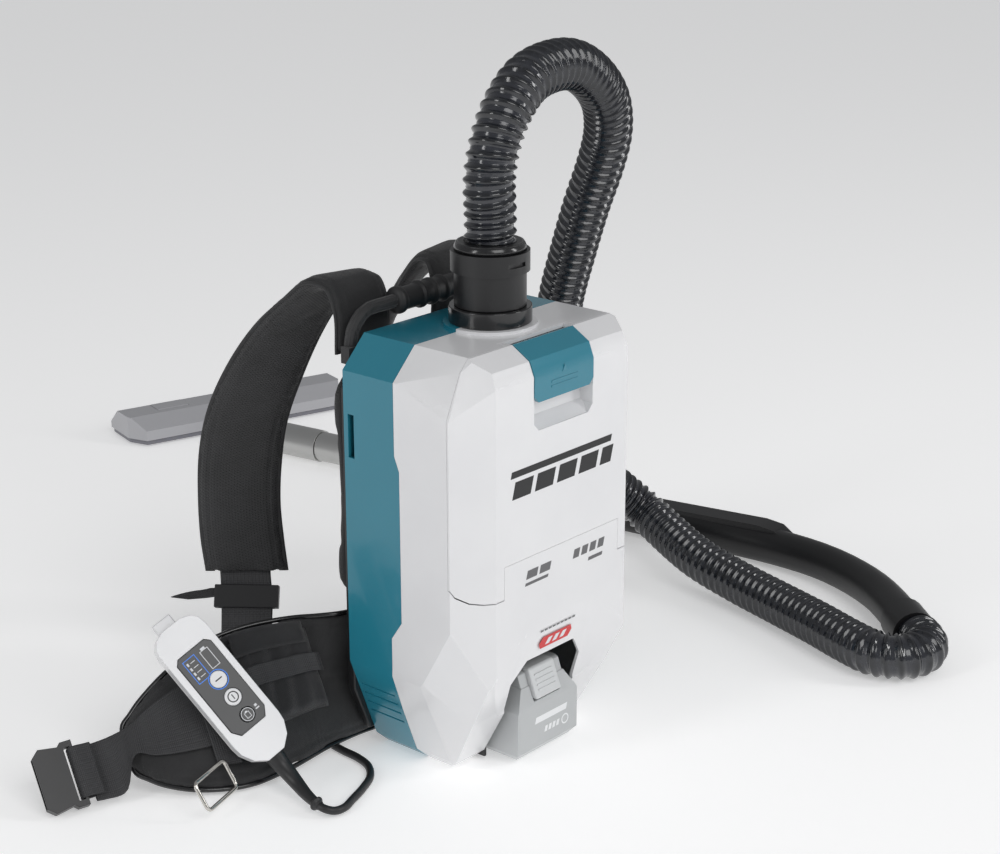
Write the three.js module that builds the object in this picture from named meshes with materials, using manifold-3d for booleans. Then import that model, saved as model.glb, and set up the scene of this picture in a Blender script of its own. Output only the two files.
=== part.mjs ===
// Cordless backpack vacuum cleaner: housing, suction hose, wand, harness, hip belt and wired remote.
// Millimetres, +Z up. The cover faces -Y, the wearer's back lies on +Y, and the floor is at Z = 0.
import * as THREE from "three";
import { mergeVertices } from "three/addons/utils/BufferGeometryUtils.js";
import Module from "manifold-3d";

const wasm = await Module();
wasm.setup();

// Driving dimensions of the housing.
const HEIGHT = 360;
const HALF_WIDTH = 110;
const HALF_TOP = 85;
const HALF_FOOT = 68;
const FRONT = -82;
const BACK = 51;
const COVER_SEAM = -58;
const COVER_FOOT = 166;
const WALL = 3;
const GAP = 0.3;

// The suction port on top, and what stands on it.
const PORT_Y = -6;
const PORT_RADIUS = 33.5;
const PORT_TOP = 376;
const HOSE_START = 427.6;
const HOSE_RADIUS = 21;

// Battery and its bay.
const BATTERY_HALF = 38;
const BATTERY_FRONT = -68;
const BATTERY_BACK = 38;
const BATTERY_TOP = 66;
const BAY_HALF = 40.5;
const BAY_TOP = 92;

// Hinge lines, as [y, z].
const COVER_HINGE = [-79.5, 168.5];
const LATCH_HINGE = [-57.5, 355.5];

const teal = { color: 0x287d94, roughness: 0.35, metalness: 0 };
const white = { color: 0xe6e6e8, roughness: 0.35, metalness: 0 };
const black = { color: 0x232326, roughness: 0.5, metalness: 0 };
const rubber = { color: 0x19191b, roughness: 0.8, metalness: 0 };
const cloth = { color: 0x1c1c1e, roughness: 0.95, metalness: 0 };
const steel = { color: 0xb8b8ba, roughness: 0.3, metalness: 1 };
const silver = { color: 0xb4b4ba, roughness: 0.45, metalness: 0.2 };
const grey = { color: 0xb9bcbd, roughness: 0.5, metalness: 0 };
const paper = { color: 0xdcd9d0, roughness: 0.9, metalness: 0 };

const part = new THREE.Group();

function add(name, shape, finish) {
  const geometry = shape.isBufferGeometry ? shape : geometryOf(shape);
  const mesh = new THREE.Mesh(geometry, new THREE.MeshStandardMaterial(finish));
  mesh.name = name;
  part.add(mesh);
}

// Solids: a three.js geometry becomes a manifold-3d solid, and back.
function solid(geometry) {
  const bare = geometry.clone();
  bare.deleteAttribute("normal");
  bare.deleteAttribute("uv");
  const merged = mergeVertices(bare, 1e-4);
  const mesh = new wasm.Mesh({
    numProp: 3,
    vertProperties: merged.attributes.position.array,
    triVerts: new Uint32Array(merged.index.array),
  });
  return new wasm.Manifold(mesh);
}

function geometryOf(shape) {
  const mesh = shape.getMesh();
  const geometry = new THREE.BufferGeometry();
  geometry.setAttribute("position", new THREE.BufferAttribute(mesh.vertProperties, 3));
  geometry.setIndex(new THREE.BufferAttribute(mesh.triVerts, 1));
  geometry.computeVertexNormals();
  return geometry;
}

function box(x0, x1, y0, y1, z0, z1) {
  const shape = new THREE.BoxGeometry(x1 - x0, y1 - y0, z1 - z0);
  shape.translate((x0 + x1) / 2, (y0 + y1) / 2, (z0 + z1) / 2);
  return solid(shape);
}

// An outline pushed straight through: along Z from [x, y], along Y from [x, z], or along X from [y, z].
function prism(along, points, from, to) {
  const outline = new THREE.Shape(points.map(([a, b]) => new THREE.Vector2(a, b)));
  const shape = new THREE.ExtrudeGeometry(outline, { depth: to - from, bevelEnabled: false });
  shape.translate(0, 0, from);
  if (along === "z") return solid(shape);
  const unit = { x: [1, 0, 0], y: [0, 1, 0], z: [0, 0, 1] };
  const columns = along === "x" ? [unit.y, unit.z, unit.x] : [unit.x, unit.z, unit.y];
  const turn = new THREE.Matrix4();
  turn.makeBasis(...columns.map((c) => new THREE.Vector3(...c)));
  shape.applyMatrix4(turn);
  return along === "y" ? solid(flipped(shape)) : solid(shape);
}

function flipped(geometry) {
  const g = geometry.index ? geometry.toNonIndexed() : geometry;
  const p = g.attributes.position;
  for (let i = 0; i < p.count; i += 3) {
    const a = new THREE.Vector3().fromBufferAttribute(p, i);
    const b = new THREE.Vector3().fromBufferAttribute(p, i + 1);
    p.setXYZ(i, b.x, b.y, b.z);
    p.setXYZ(i + 1, a.x, a.y, a.z);
  }
  return g;
}

// A profile of [radius, height] turned about an axis through a point.
function turned(profile, origin, axis = [0, 0, 1], sides = 32) {
  const points = profile.map(([r, z]) => new THREE.Vector2(r, z));
  const shape = new THREE.LatheGeometry(points, sides);
  const up = new THREE.Vector3(0, 1, 0);
  const turn = new THREE.Quaternion().setFromUnitVectors(up, new THREE.Vector3(...axis).normalize());
  shape.applyQuaternion(turn);
  shape.translate(...origin);
  return solid(shape);
}

function rod(radius, length, origin, axis, sides = 24) {
  return turned([[0, 0], [radius, 0], [radius, length], [0, length]], origin, axis, sides);
}

function pipeRing(outer, inner, z0, z1, sides = 32) {
  const profile = [[inner, z0], [outer, z0], [outer, z1], [inner, z1], [inner, z0]];
  return turned(profile, [0, PORT_Y, 0], [0, 0, 1], sides);
}

// A round tube along a smooth curve through the points.
function tube(points, radius, steps, sides = 12) {
  const path = new THREE.CatmullRomCurve3(points.map((p) => new THREE.Vector3(...p)));
  const section = new THREE.Shape();
  section.absarc(0, 0, radius, 0, Math.PI * 2);
  const shape = new THREE.ExtrudeGeometry(section, {
    steps,
    curveSegments: sides / 2,
    bevelEnabled: false,
    extrudePath: path,
  });
  return solid(shape);
}

// A strip of padding or webbing: rows of [one edge, other edge] on its seen side, and a thickness behind.
function strip(rows, thickness) {
  const middle = rows.map(([a, b]) => a.clone().add(b).multiplyScalar(0.5));
  const vertices = [];
  rows.forEach(([a, b], i) => {
    const before = middle[Math.max(i - 1, 0)];
    const after = middle[Math.min(i + 1, rows.length - 1)];
    const along = after.clone().sub(before);
    const across = b.clone().sub(a);
    const inward = along.cross(across).normalize().multiplyScalar(thickness);
    vertices.push(a, b, b.clone().add(inward), a.clone().add(inward));
  });
  const faces = [0, 1, 2, 0, 2, 3];
  for (let i = 0; i < rows.length - 1; i++) {
    for (let k = 0; k < 4; k++) {
      const [p, q] = [i * 4 + k, i * 4 + ((k + 1) % 4)];
      faces.push(p, p + 4, q + 4, p, q + 4, q);
    }
  }
  const last = (rows.length - 1) * 4;
  faces.push(last, last + 2, last + 1, last, last + 3, last + 2);
  const shape = new THREE.BufferGeometry().setFromPoints(vertices);
  shape.setIndex(faces);
  const made = solid(shape);
  return made.volume() > 0 ? made : solid(flipped(shape));
}

function vectors(rows) {
  return rows.map(([a, b]) => [new THREE.Vector3(...a), new THREE.Vector3(...b)]);
}

function mirrored(shape) {
  return shape.mirror([1, 0, 0]);
}

// The outside of the housing, drawn in by an inset: front view, side view and plan cut out of each other,
// and the soft corner facets at the shoulders and above the feet.
const FACETS = [
  { out: [0.903, 0.145, 0.404], reach: 235.4 },
  { out: [0.72, 0.61, 0.34], reach: 223.2 },
  { out: [0.867, 0.433, -0.249], reach: 85.8 },
  { out: [0.878, 0.36, -0.314], reach: 78.8 },
];

function housingBody(inset) {
  const half = HALF_WIDTH - inset;
  const top = HEIGHT - inset;
  const front = [[HALF_TOP - inset / 2, top], [half, 335 - inset / 2], [half, 88 + inset / 4]];
  front.push([81 - inset, 12 + inset / 2], [HALF_FOOT - inset, inset]);
  const left = front.map(([x, z]) => [-x, z]).reverse();
  const face = FRONT + inset;
  const side = [[BACK - inset, inset], [BACK - inset, top], [-60 + inset / 2, top], [-77 + inset, 350 - inset / 2]];
  side.push([face, 338 - inset / 2], [face, 98 + inset / 2], [-60 + inset, 54 + inset / 2], [-36 + inset, 10], [-21, inset]);
  const plan = [[-half, BACK - inset], [-half, -60 + inset / 2], [-81 + inset / 2, face]];
  plan.push([81 - inset / 2, face], [half, -60 + inset / 2], [half, BACK - inset]);
  const widest = 2 * HALF_WIDTH;
  const blank = prism("y", [...front, ...left], -widest, widest)
    .intersect(prism("x", side, -widest, widest))
    .intersect(prism("z", plan, -1, HEIGHT + 1));
  return FACETS.reduce((shape, { out: [x, y, z], reach }) => {
    const size = Math.hypot(x, y, z);
    const offset = inset - reach / size;
    return shape
      .trimByPlane([x / size, y / size, -z / size], offset)
      .trimByPlane([-x / size, y / size, -z / size], offset);
  }, blank);
}

// The arch that opens the lower front towards the battery: wide at the front, closing in to the bay.
function bayArch(margin) {
  const m = margin;
  const edge = [[110, -82, -20], [110, -110, -20], [110, -110, 77 + m], [37 + m / 2, -110, 136 + m]];
  edge.push([110, -82, 77 + m], [37 + m / 2, -82, 136 + m], [28.5 + m / 2, -72 + m / 4, 95.5 + m]);
  edge.push([43.5 + m / 2, -67 + m / 2, 79 + m], [50 + m, -58 + m, 54], [50 + m, -58 + m, -20]);
  return wasm.Manifold.hull(edge.flatMap(([x, y, z]) => [[x, y, z], [-x, y, z]]));
}

// The parting line between the teal back and the white front, moved back by a clearance.
function backHalf(clearance) {
  const line = [[-3, 400], [-3, 276], [-8, 264], [-8, 137], [3, 121], [3, 95], [5, 54], [5, -10]];
  const points = line.map(([y, z]) => [y + clearance, z]);
  return prism("x", [...points, [80, -10], [80, 400]], -130, 130);
}

function coverSpace(clearance) {
  const c = clearance;
  const notch = 71 + c;
  const foot = COVER_FOOT - 1.6 + c * 3;
  const edge = HALF_WIDTH + 3 - c;
  const outline = [[-edge, 400], [-edge, foot + 19], [-edge + 6, foot + 8], [-edge + 15, foot + 2], [-edge + 24, foot]];
  const rounded = [...outline, ...outline.map(([x, z]) => [-x, z]).reverse()];
  const region = prism("y", rounded, -100, COVER_SEAM - c);
  const panel = box(-notch, notch, -100, -50, 100, 192 + c);
  const latchTab = box(-42 + c, 42 - c, -80, -49.5 - c, 335 + c, 400);
  return region.subtract(panel).add(latchTab);
}

// The bay in front view: straight sides and two sloping shoulders, grown by a margin.
function bayOutline(margin, foot) {
  const half = BAY_HALF + margin;
  const right = [[half, foot], [half, 76 + margin / 3], [28 + margin / 2, BAY_TOP + margin]];
  return [...right, ...right.map(([x, z]) => [-x, z]).reverse()];
}

const bayVoid = prism("y", bayOutline(3.3, -1), -100, 47.3);
const portHole = rod(25, 60, [0, PORT_Y, 320], [0, 0, 1], 32);
const outer = housingBody(0)
  .subtract(bayArch(0))
  .add(rod(38, 20, [0, PORT_Y, HEIGHT - 17.5], [0, 0, 1], 40));
const inner = housingBody(WALL).subtract(bayArch(WALL));
const shell = outer.subtract(inner);

function ventSlots(side) {
  const x = side * HALF_WIDTH;
  const slot = box(Math.min(x, x - side * 9), Math.max(x, x - side * 9), 40, 46.5, 264, 300);
  return slot;
}

// Four shallow grooves along each flank, above the foot.
function sideGrooves() {
  const cuts = [];
  for (const side of [-1, 1]) {
    for (const z of [38, 47, 56, 65]) {
      const flank = HALF_WIDTH - ((88 - z) * 29) / 76;
      const notch = [[flank + 2, z + 2.2], [flank - 1.2, z], [flank + 2, z - 2.2]];
      cuts.push(prism("y", notch.map(([x, h]) => [side * x, h]), 9, 47));
    }
  }
  return cuts.reduce((all, cut) => all.add(cut));
}

function rearShell() {
  const bridge = box(-43.4, 43.4, -12, 14, 0, 3).add(box(-46.5, 46.5, 5.4, 14, 0, 3));
  const gland = rod(5.2, 20, [-50, 40, 18], [0, 1, 0], 20);
  const cut = bayVoid.add(portHole).add(ventSlots(1)).add(ventSlots(-1)).add(gland).add(sideGrooves());
  return shell.intersect(backHalf(GAP / 2)).subtract(cut).add(bridge);
}

function frontShell() {
  const deck = box(-108.5, 108.5, -57.5, -8.6, 190, 193);
  const lugs = [-1, 1].map((s) => box(Math.min(s * 61, s * 70.7), Math.max(s * 61, s * 70.7), -80, -74, 160, 177));
  const bores = rod(1.5, 158.8, [-79.4, ...COVER_HINGE], [1, 0, 0], 16);
  return shell
    .subtract(backHalf(-GAP / 2))
    .subtract(coverSpace(0))
    .add(deck)
    .add(lugs[0])
    .add(lugs[1])
    .subtract(bayVoid)
    .subtract(portHole)
    .subtract(bores);
}

// The hinged dust cover, with a thick pocket behind the latch and a knuckle over each hinge pin.
function dustCover() {
  const [y, z] = LATCH_HINGE;
  const pocket = outer.intersect(box(-42, 42, -100, -64, 286, 352));
  const knuckles = [-1, 1].map((s) => box(Math.min(s * 71.3, s * 79.6), Math.max(s * 71.3, s * 79.6), -81, -75, 166, 175));
  const seat = [[-51, 362], [-51, 350.5], [-58, 350.2], [-72.8, 345.6], [-78, 336.6], [-78, 316.4], [-95, 316.4], [-95, 362]];
  const fingers = [[-95, 318], [-95, 294], [-80.5, 294], [-69, 302], [-69, 327], [-74.5, 327], [-77.6, 318]];
  const mouth = [[-36, 330], [-36, 300], [-30, 293.5], [30, 293.5], [36, 300], [36, 330]];
  const pinHole = rod(1.6, 82, [-41, y, z], [1, 0, 0], 16);
  const bores = rod(1.5, 158.8, [-79.4, ...COVER_HINGE], [1, 0, 0], 16);
  return shell
    .add(pocket)
    .intersect(coverSpace(GAP))
    .add(knuckles[0])
    .add(knuckles[1])
    .subtract(prism("x", seat, -36.4, 36.4))
    .subtract(prism("x", fingers, -36, 36).intersect(prism("y", mouth, -100, 0)))
    .subtract(pinHole)
    .subtract(bores);
}

function coverLatch() {
  const [y, z] = LATCH_HINGE;
  const plate = [[y, z + 3.4], [-61, 360.3], [-77.8, 350.6], [-82.7, 338.2], [-82.7, 317], [-78.6, 317], [-78.6, 337]];
  plate.push([-74.6, 347.4], [-60, 355], [y, z - 3.4]);
  const outline = [[-36, 364], [-36, 322], [-31, 317], [31, 317], [36, 322], [36, 364]];
  const barrel = rod(3.5, 72, [-36, y, z], [1, 0, 0], 20);
  return prism("x", plate, -36, 36)
    .intersect(prism("y", outline, -100, 0))
    .add(barrel)
    .subtract(rod(1.6, 82, [-41, y, z], [1, 0, 0], 16));
}

add("rear_shell", rearShell(), teal);
add("front_shell", frontShell(), white);
add("dust_cover", dustCover(), white);
add("cover_latch", coverLatch(), teal);
add("latch_pin", rod(1.3, 81, [-40.5, ...LATCH_HINGE], [1, 0, 0], 12), steel);
add("cover_pin_right", rod(1.2, 16.5, [62, ...COVER_HINGE], [1, 0, 0], 12), steel);
add("cover_pin_left", rod(1.2, 16.5, [-78.5, ...COVER_HINGE], [1, 0, 0], 12), steel);

// Suction port, cuff and its lock ring, and the hose that leaves them.
function portRing() {
  const stub = pipeRing(24.6, 20.5, 344, 366);
  return pipeRing(PORT_RADIUS, 20.5, 362.8, 366).add(stub).add(pipeRing(PORT_RADIUS, 24.9, 366, PORT_TOP));
}

function cuffSleeve() {
  const profile = [[18, 366.4], [24.6, 366.4], [24.6, PORT_TOP + GAP], [29, PORT_TOP + GAP], [29, 404]];
  profile.push([26, 404], [26, 421], [28, 422], [27, 427.3], [18, 427.3], [18, 366.4]);
  return turned(profile, [0, PORT_Y, 0]);
}

function lockRing() {
  const ring = pipeRing(31.8, 26.3, 404.3, 420.7);
  return ring.subtract(box(-12, 6, -60, -35.4, 410.5, 414));
}

const HOSE_ROUTE = [
  [0, -6, HOSE_START],
  [0, -6, 450],
  [-2, -7, 476],
  [3, -8, 502],
  [17, -8, 527],
  [42, -6, 547],
  [75, -3, 554],
  [110, 1, 551],
  [143, 6, 535],
  [169, 13, 512],
  [185, 23, 484],
  [194, 38, 452],
  [200, 57, 414],
  [209, 79, 367],
  [220, 102, 315],
  [240, 124, 254],
  [273, 142, 190],
  [320, 152, 128],
  [364, 149, 85],
  [385, 129, 60],
  [382, 97, 45],
  [367, 45, 33],
  [358, -10, 25],
  [347, -62, 22],
  [330, -118, 22],
  [314, -164, 22],
  [308, -192, 22],
  [317, -214, 22],
  [336, -223, 22],
  [354, -217, 22],
  [367.2, -202.4, 22],
];

add("port_ring", portRing(), black);
add("cuff_sleeve", cuffSleeve(), black);
add("cuff_lock_ring", lockRing(), black);
add("suction_hose", tube(HOSE_ROUTE, HOSE_RADIUS, 76, 12), black);

// What the housing holds: bag, filter, motor, fan, board, bay and battery.
function motor() {
  const can = turned([[0, 112], [30, 112], [34, 116], [34, 168], [30, 172], [4, 172], [4, 174], [0, 174]], [0, -8, 0]);
  return can;
}

function impeller() {
  const hub = turned([[4.4, 172.4], [12, 172.4], [32, 173.4], [32, 175], [10, 178], [8, 186], [4.4, 186], [4.4, 172.4]], [0, -8, 0]);
  const blades = [0, 1, 2, 3, 4, 5].map((i) => {
    const blade = box(8, 31, -1, 1, 174, 184);
    return blade.rotate([0, 0, i * 60]).translate([0, -8, 0]);
  });
  return blades.reduce((whole, blade) => whole.add(blade), hub);
}

function batteryBay() {
  return prism("y", bayOutline(3, 3.4), -36, 47).subtract(prism("y", bayOutline(0, -5), -60, 44));
}

function battery() {
  const low = [[BATTERY_FRONT + 6, 5], [BATTERY_FRONT, 12], [BATTERY_FRONT, 50], [-61.5, BATTERY_TOP]];
  low.push([BATTERY_BACK, BATTERY_TOP], [BATTERY_BACK, 5]);
  const right = [[BATTERY_HALF - 5, 5], [BATTERY_HALF, 11], [BATTERY_HALF, 48], [27, BATTERY_TOP]];
  const faced = prism("y", [...right, ...right.map(([x, z]) => [-x, z]).reverse()], -100, 100);
  const body = prism("x", low, -BATTERY_HALF, BATTERY_HALF).intersect(faced);
  const block = [[-66.5, 50], [-57, 76], [-54, 78], [BATTERY_BACK, 78], [BATTERY_BACK, 60], [-60, 50]];
  return body.add(prism("x", block, -26, 26)).subtract(box(-16.4, 16.4, -75, -47.6, 53, 90));
}

add("dust_bag", box(-92, 92, -52, 40, 218, 336), paper);
add("hepa_filter", box(-90, 90, -50, 40, 195, 213), paper);
add("motor", motor(), steel);
add("motor_mount", turned([[34.4, 120], [39, 120], [39, 130], [34.4, 130], [34.4, 120]], [0, -8, 0]), rubber);
add("impeller", impeller(), black);
add("control_board", box(60, 62, -46, 4, 112, 176), { color: 0x1d5a38, roughness: 0.6, metalness: 0 });
add("battery_bay", batteryBay(), black);
add("battery_terminal", box(-22, 22, 40.4, 43.7, 20, 60), black);
add("battery", battery(), grey);
const BUTTON_SIDE = [[-69.4, 55.3], [-60.2, 79], [-58, 80], [-48, 80], [-48, 55.3]];
add("battery_button", prism("x", BUTTON_SIDE, -16, 16), grey);

// Harness: plate, pads, handle, straps, belt, webbing and buckles.
function backPlate() {
  const half = 105;
  const outline = [[-half, 60], [-88, 18], [88, 18], [half, 60], [half, 318], [88, 340], [-88, 340], [-half, 318]];
  return prism("y", outline, BACK + GAP, 59).subtract(rod(5.2, 20, [-50, 45, 18], [0, 1, 0], 20));
}

function backPad() {
  const outline = [[-106, 142], [-94, 128], [94, 128], [106, 142], [106, 308], [86, 332], [-86, 332], [-106, 308]];
  return prism("y", outline, 59.3, 75);
}

function carryHandle() {
  const route = [[-86, 66, 343], [-84, 64, 360], [-74, 61, 373], [-50, 60, 375], [0, 60, 375], [50, 60, 375]];
  route.push([74, 61, 373], [84, 64, 360], [86, 66, 343]);
  const core = tube(route, 5.5, 28, 12);
  return core.subtract(box(-120, 120, 40, 90, 330, 344.5)).add(ear(-1)).add(ear(1));
}

function ear(side) {
  const [x0, x1] = [side * 86 - 8, side * 86 + 8];
  return box(x0, x1, 59.3, 68.5, 333, 347).subtract(box(x0 - 1, x1 + 1, 59, 90, 320, 333.5));
}

function handleGrip() {
  return turned([[5.8, -42], [10.5, -42], [11.5, -38], [11.5, 38], [10.5, 42], [5.8, 42], [5.8, -42]], [0, 60, 375], [1, 0, 0]);
}

const STRAP_ROWS = [
  [[-86, 76, 336], [-26, 76, 336]],
  [[-87, 76, 372], [-27, 76, 372]],
  [[-88, 88, 394], [-29, 86, 393]],
  [[-90, 112, 396], [-31, 104, 394]],
  [[-90, 140, 377], [-33, 126, 373]],
  [[-90, 172, 350], [-36, 148, 341]],
  [[-90, 207, 308], [-40, 170, 296]],
  [[-90, 234, 262], [-43, 188, 250]],
  [[-90, 247, 220], [-44, 196, 208]],
  [[-91, 250, 180], [-45, 198, 172]],
  [[-93, 247, 140], [-46, 194, 138]],
  [[-95, 240, 112], [-48, 188, 112]],
];

const WEBBING_ROWS = [
  [[-90, 229, 111], [-61, 196, 111]],
  [[-96, 222, 92], [-68, 187, 92]],
  [[-106, 212, 72], [-78, 178, 72]],
  [[-116, 203, 54], [-88, 170, 54]],
];

function strapWebbing() {
  return strip(vectors(WEBBING_ROWS), 2.4);
}

// A ladder-lock frame whose slot the lower webbing runs through.
function adjuster() {
  const [before, [a, b], after] = vectors(WEBBING_ROWS);
  const across = b.clone().sub(a).normalize();
  const along = after[0].clone().sub(before[0]);
  along.addScaledVector(across, -along.dot(across)).normalize();
  const inward = new THREE.Vector3().crossVectors(along, across);
  const middle = a.clone().add(b).multiplyScalar(0.5).addScaledVector(inward, 1.2);
  const frame = box(-28, 28, -10, 10, -4.6, 4.6).subtract(box(-24.6, 24.6, -20, 20, -2.6, 2.6));
  const matrix = new THREE.Matrix4().makeBasis(across, along.negate(), inward);
  return solid(geometryOf(frame).applyMatrix4(matrix.setPosition(middle)));
}

// The left wing of the hip belt, as rows of [bottom, top] on the side that faces outwards.
const WING_ROWS = vectors([
  [[-61, 60, 6], [-61, 64, 114]],
  [[-92, 60, 10], [-95, 80, 114]],
  [[-127, 60, 12.5], [-126, 110, 113]],
  [[-168, 62, 9.5], [-158, 130, 110]],
  [[-208, 69, 8.5], [-188, 144, 102]],
  [[-241, 91, 10], [-217, 155, 85]],
  [[-261, 115, 15], [-242, 160, 67]],
  [[-273, 136, 25], [-261, 160, 51]],
]);
const WING_PAD = 13;

// A patch on the wing: from row to row, between two heights (0 bottom, 1 top), lifted off its surface.
function patch(fromRow, toRow, low, high, lift, steps) {
  const at = (s, t) => {
    const i = Math.min(Math.floor(s), WING_ROWS.length - 2);
    const edge = (k) => WING_ROWS[i][k].clone().lerp(WING_ROWS[i + 1][k], s - i);
    const outward = edge(1).sub(edge(0)).cross(WING_ROWS[i + 1][0].clone().sub(WING_ROWS[i][0])).normalize();
    return edge(0).lerp(edge(1), t).addScaledVector(outward, lift);
  };
  const rows = [];
  for (let k = 0; k <= steps; k++) {
    const s = fromRow + ((toRow - fromRow) * k) / steps;
    rows.push([at(s, low), at(s, high)]);
  }
  return rows;
}

function beltWebbing() {
  const onWing = patch(3.6, 6.7, 0.3, 0.82, 4.8, 4);
  const free = vectors([
    [[-285, 128, 12], [-276, 158, 47]],
    [[-298, 138, 7], [-290, 166, 43]],
    [[-306, 142, 7], [-299, 170, 42]],
  ]);
  return strip([...onWing, ...free], 2.4);
}

// Side-release buckle halves, each built flat in its own frame and set at the end of the webbing.
function placeBuckle(shape) {
  const across = new THREE.Vector3(7, 27, 35).normalize();
  const out = new THREE.Vector3(-30, 14, -1);
  out.addScaledVector(across, -out.dot(across)).normalize();
  const normal = new THREE.Vector3().crossVectors(out, across);
  const matrix = new THREE.Matrix4().makeBasis(out, across, normal);
  matrix.setPosition(-306, 158.5, 26.5);
  return solid(geometryOf(shape).applyMatrix4(matrix));
}

function buckleMale() {
  const bar = box(0, 12, -27, 27, -4, 4).subtract(box(2.5, 8, -22, 22, -5, 5));
  const prongs = [-1, 1].map((s) => box(11, 33, Math.min(s * 18, s * 26), Math.max(s * 18, s * 26), -3.5, 3.5));
  const guide = box(11, 30, -3, 3, -3, 3);
  return placeBuckle(bar.add(prongs[0]).add(prongs[1]).add(guide));
}

function buckleFemale() {
  const outline = [[0, -27], [9, -27], [12, -24], [27, -26.5], [33, -21], [33, 21], [27, 26.5], [12, 24], [9, 27], [0, 27]];
  const body = prism("z", outline, -5, 5).subtract(box(2.5, 7.5, -22, 22, -7, 7));
  return placeBuckle(body.subtract(box(12, 40, -20.5, 20.5, -3, 3)));
}

function beltRing() {
  const loop = box(-24, 24, -2, 2, -14, 14).subtract(box(-20.5, 20.5, -3, 3, -10.5, 10.5));
  return loop.rotate([-30, 0, 18]).translate([-243, 69, 21]);
}

add("back_plate", backPlate(), black);
add("back_pad", backPad(), cloth);
add("lumbar_pad", box(-57, 57, 59.3, 73, 30, 122), cloth);
add("carry_handle", carryHandle(), cloth);
add("handle_grip", handleGrip(), rubber);

function pair(name, shape, finish) {
  add(name + "_left", shape, finish);
  add(name + "_right", mirrored(shape), finish);
}

pair("shoulder_strap", strip(vectors(STRAP_ROWS), 12), cloth);
pair("strap_webbing", strapWebbing(), cloth);
pair("strap_adjuster", adjuster(), black);
pair("belt_wing", strip(WING_ROWS, WING_PAD), cloth);
pair("belt_webbing", beltWebbing(), cloth);
add("buckle_male", mirrored(buckleMale()), black);
add("buckle_female", buckleFemale(), black);
add("belt_pocket", strip(patch(1.7, 3.4, 0.3, 0.92, 8.8, 3), 7.6), cloth);
add("belt_loop", strip(patch(4.0, 4.55, 0.14, 0.9, 7.4, 1), 2.3), cloth);
add("belt_ring", beltRing(), steel);

// The wired remote lies against the belt: its own frame has X across, Y along and Z out of the panel.
const REMOTE_CENTRE = new THREE.Vector3(-208, 99, 81);
const REMOTE_DOWN = new THREE.Vector3(0.232, -0.64, -0.733).normalize();
const REMOTE_OUT = new THREE.Vector3(-0.43, -0.7, 0.56);
REMOTE_OUT.addScaledVector(REMOTE_DOWN, -REMOTE_OUT.dot(REMOTE_DOWN)).normalize();
const REMOTE_ACROSS = new THREE.Vector3().crossVectors(REMOTE_DOWN, REMOTE_OUT).negate();

function onRemote(shape) {
  const matrix = new THREE.Matrix4();
  matrix.makeBasis(REMOTE_ACROSS, REMOTE_DOWN.clone().negate(), REMOTE_OUT);
  matrix.setPosition(REMOTE_CENTRE);
  return solid(geometryOf(shape).applyMatrix4(matrix));
}

function remoteOutline(inset) {
  const i = inset;
  const right = [[8 - i / 2, -67 + i], [17 - i, -60 + i], [22 - i, -50 + i / 2], [23 - i, -42], [23 - i, 50]];
  right.push([21.4 - i, 57 - i / 2], [17 - i, 62.2 - i], [9 - i / 2, 65 - i]);
  return [...right, ...right.map(([x, y]) => [-x, y]).reverse()];
}

function keyHole(x, y, radius) {
  return rod(radius, 30, [x, y, -10], [0, 0, 1], 24);
}

const KEYS = [
  ["mode_key", 2, 8, 7],
  ["power_key", 2, -10, 7],
  ["check_key", 2, -28, 6],
];

function remotePanel(margin) {
  const m = margin;
  const right = [[12 + m, -38 - m], [17 + m, -31], [17 + m, 36], [13 + m, 40 + m]];
  const outline = [...right, ...right.map(([x, y]) => [-x, y]).reverse()];
  return prism("z", outline, 9 - m, 13);
}

function remoteFront() {
  const body = prism("z", remoteOutline(0), 0.15, 11.5).subtract(prism("z", remoteOutline(2.2), -1, 7));
  return body.subtract(remotePanel(GAP));
}

function remotePlate() {
  const holes = KEYS.map(([, x, y, r]) => keyHole(x, y, r + GAP));
  return holes.reduce((whole, hole) => whole.subtract(hole), remotePanel(0)).intersect(box(-30, 30, -70, 70, 8, 11.9));
}

add("remote_front", onRemote(remoteFront()), white);
add("remote_rear", onRemote(prism("z", remoteOutline(0.4), -8, -0.15)), white);
add("remote_panel", onRemote(remotePlate()), black);
KEYS.forEach(([name, x, y, r]) => {
  add(name, onRemote(rod(r, 3, [x, y, 9.8], [0, 0, 1], 24)), white);
});
add("remote_hook", onRemote(box(-9, 9, 54, 74, -11.5, -8.3)), white);

// The cable: strain relief on the remote, a loop on the floor, and the gland in the back of the housing.
const BOOT_RADIUS = 6.4;
const CABLE_RADIUS = 3.3;
const CABLE_ROUTE = [
  [-50, 69.3, 18],
  [-50, 77, 18],
  [-51, 88, 14],
  [-59, 99, 7.5],
  [-73, 105, 4.2],
  [-89, 105, 3.6],
  [-102, 95, 3.6],
  [-109, 79, 3.6],
  [-112, 60, 3.6],
  [-113, 42, 3.6],
  [-118, 25, 3.6],
  [-130, 11, 3.6],
  [-147, 2, 3.6],
  [-166, -5, 3.6],
  [-181, -10, 3.8],
  [-191, -9, 5],
  [-196, -3, 7],
  [-196.2, 5.4, 8.6],
];

function boot() {
  const start = REMOTE_CENTRE.clone().addScaledVector(REMOTE_DOWN, 67.5);
  const next = start.clone().addScaledVector(REMOTE_DOWN, 11);
  const route = [start.toArray(), next.toArray(), [-190, 34, 14.5], [-193.5, 19, 10.5], [-196, 6, 8.6]];
  return tube(route, BOOT_RADIUS, 12, 16);
}

add("remote_boot", boot(), rubber);
add("remote_cable", tube(CABLE_ROUTE, CABLE_RADIUS, 30, 8), rubber);
add("cable_gland", turned([[0, 44], [4.8, 44], [4.8, 59.4], [7, 59.4], [6, 69], [0, 69]], [-50, 0, 18], [0, 1, 0], 20), rubber);

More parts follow.
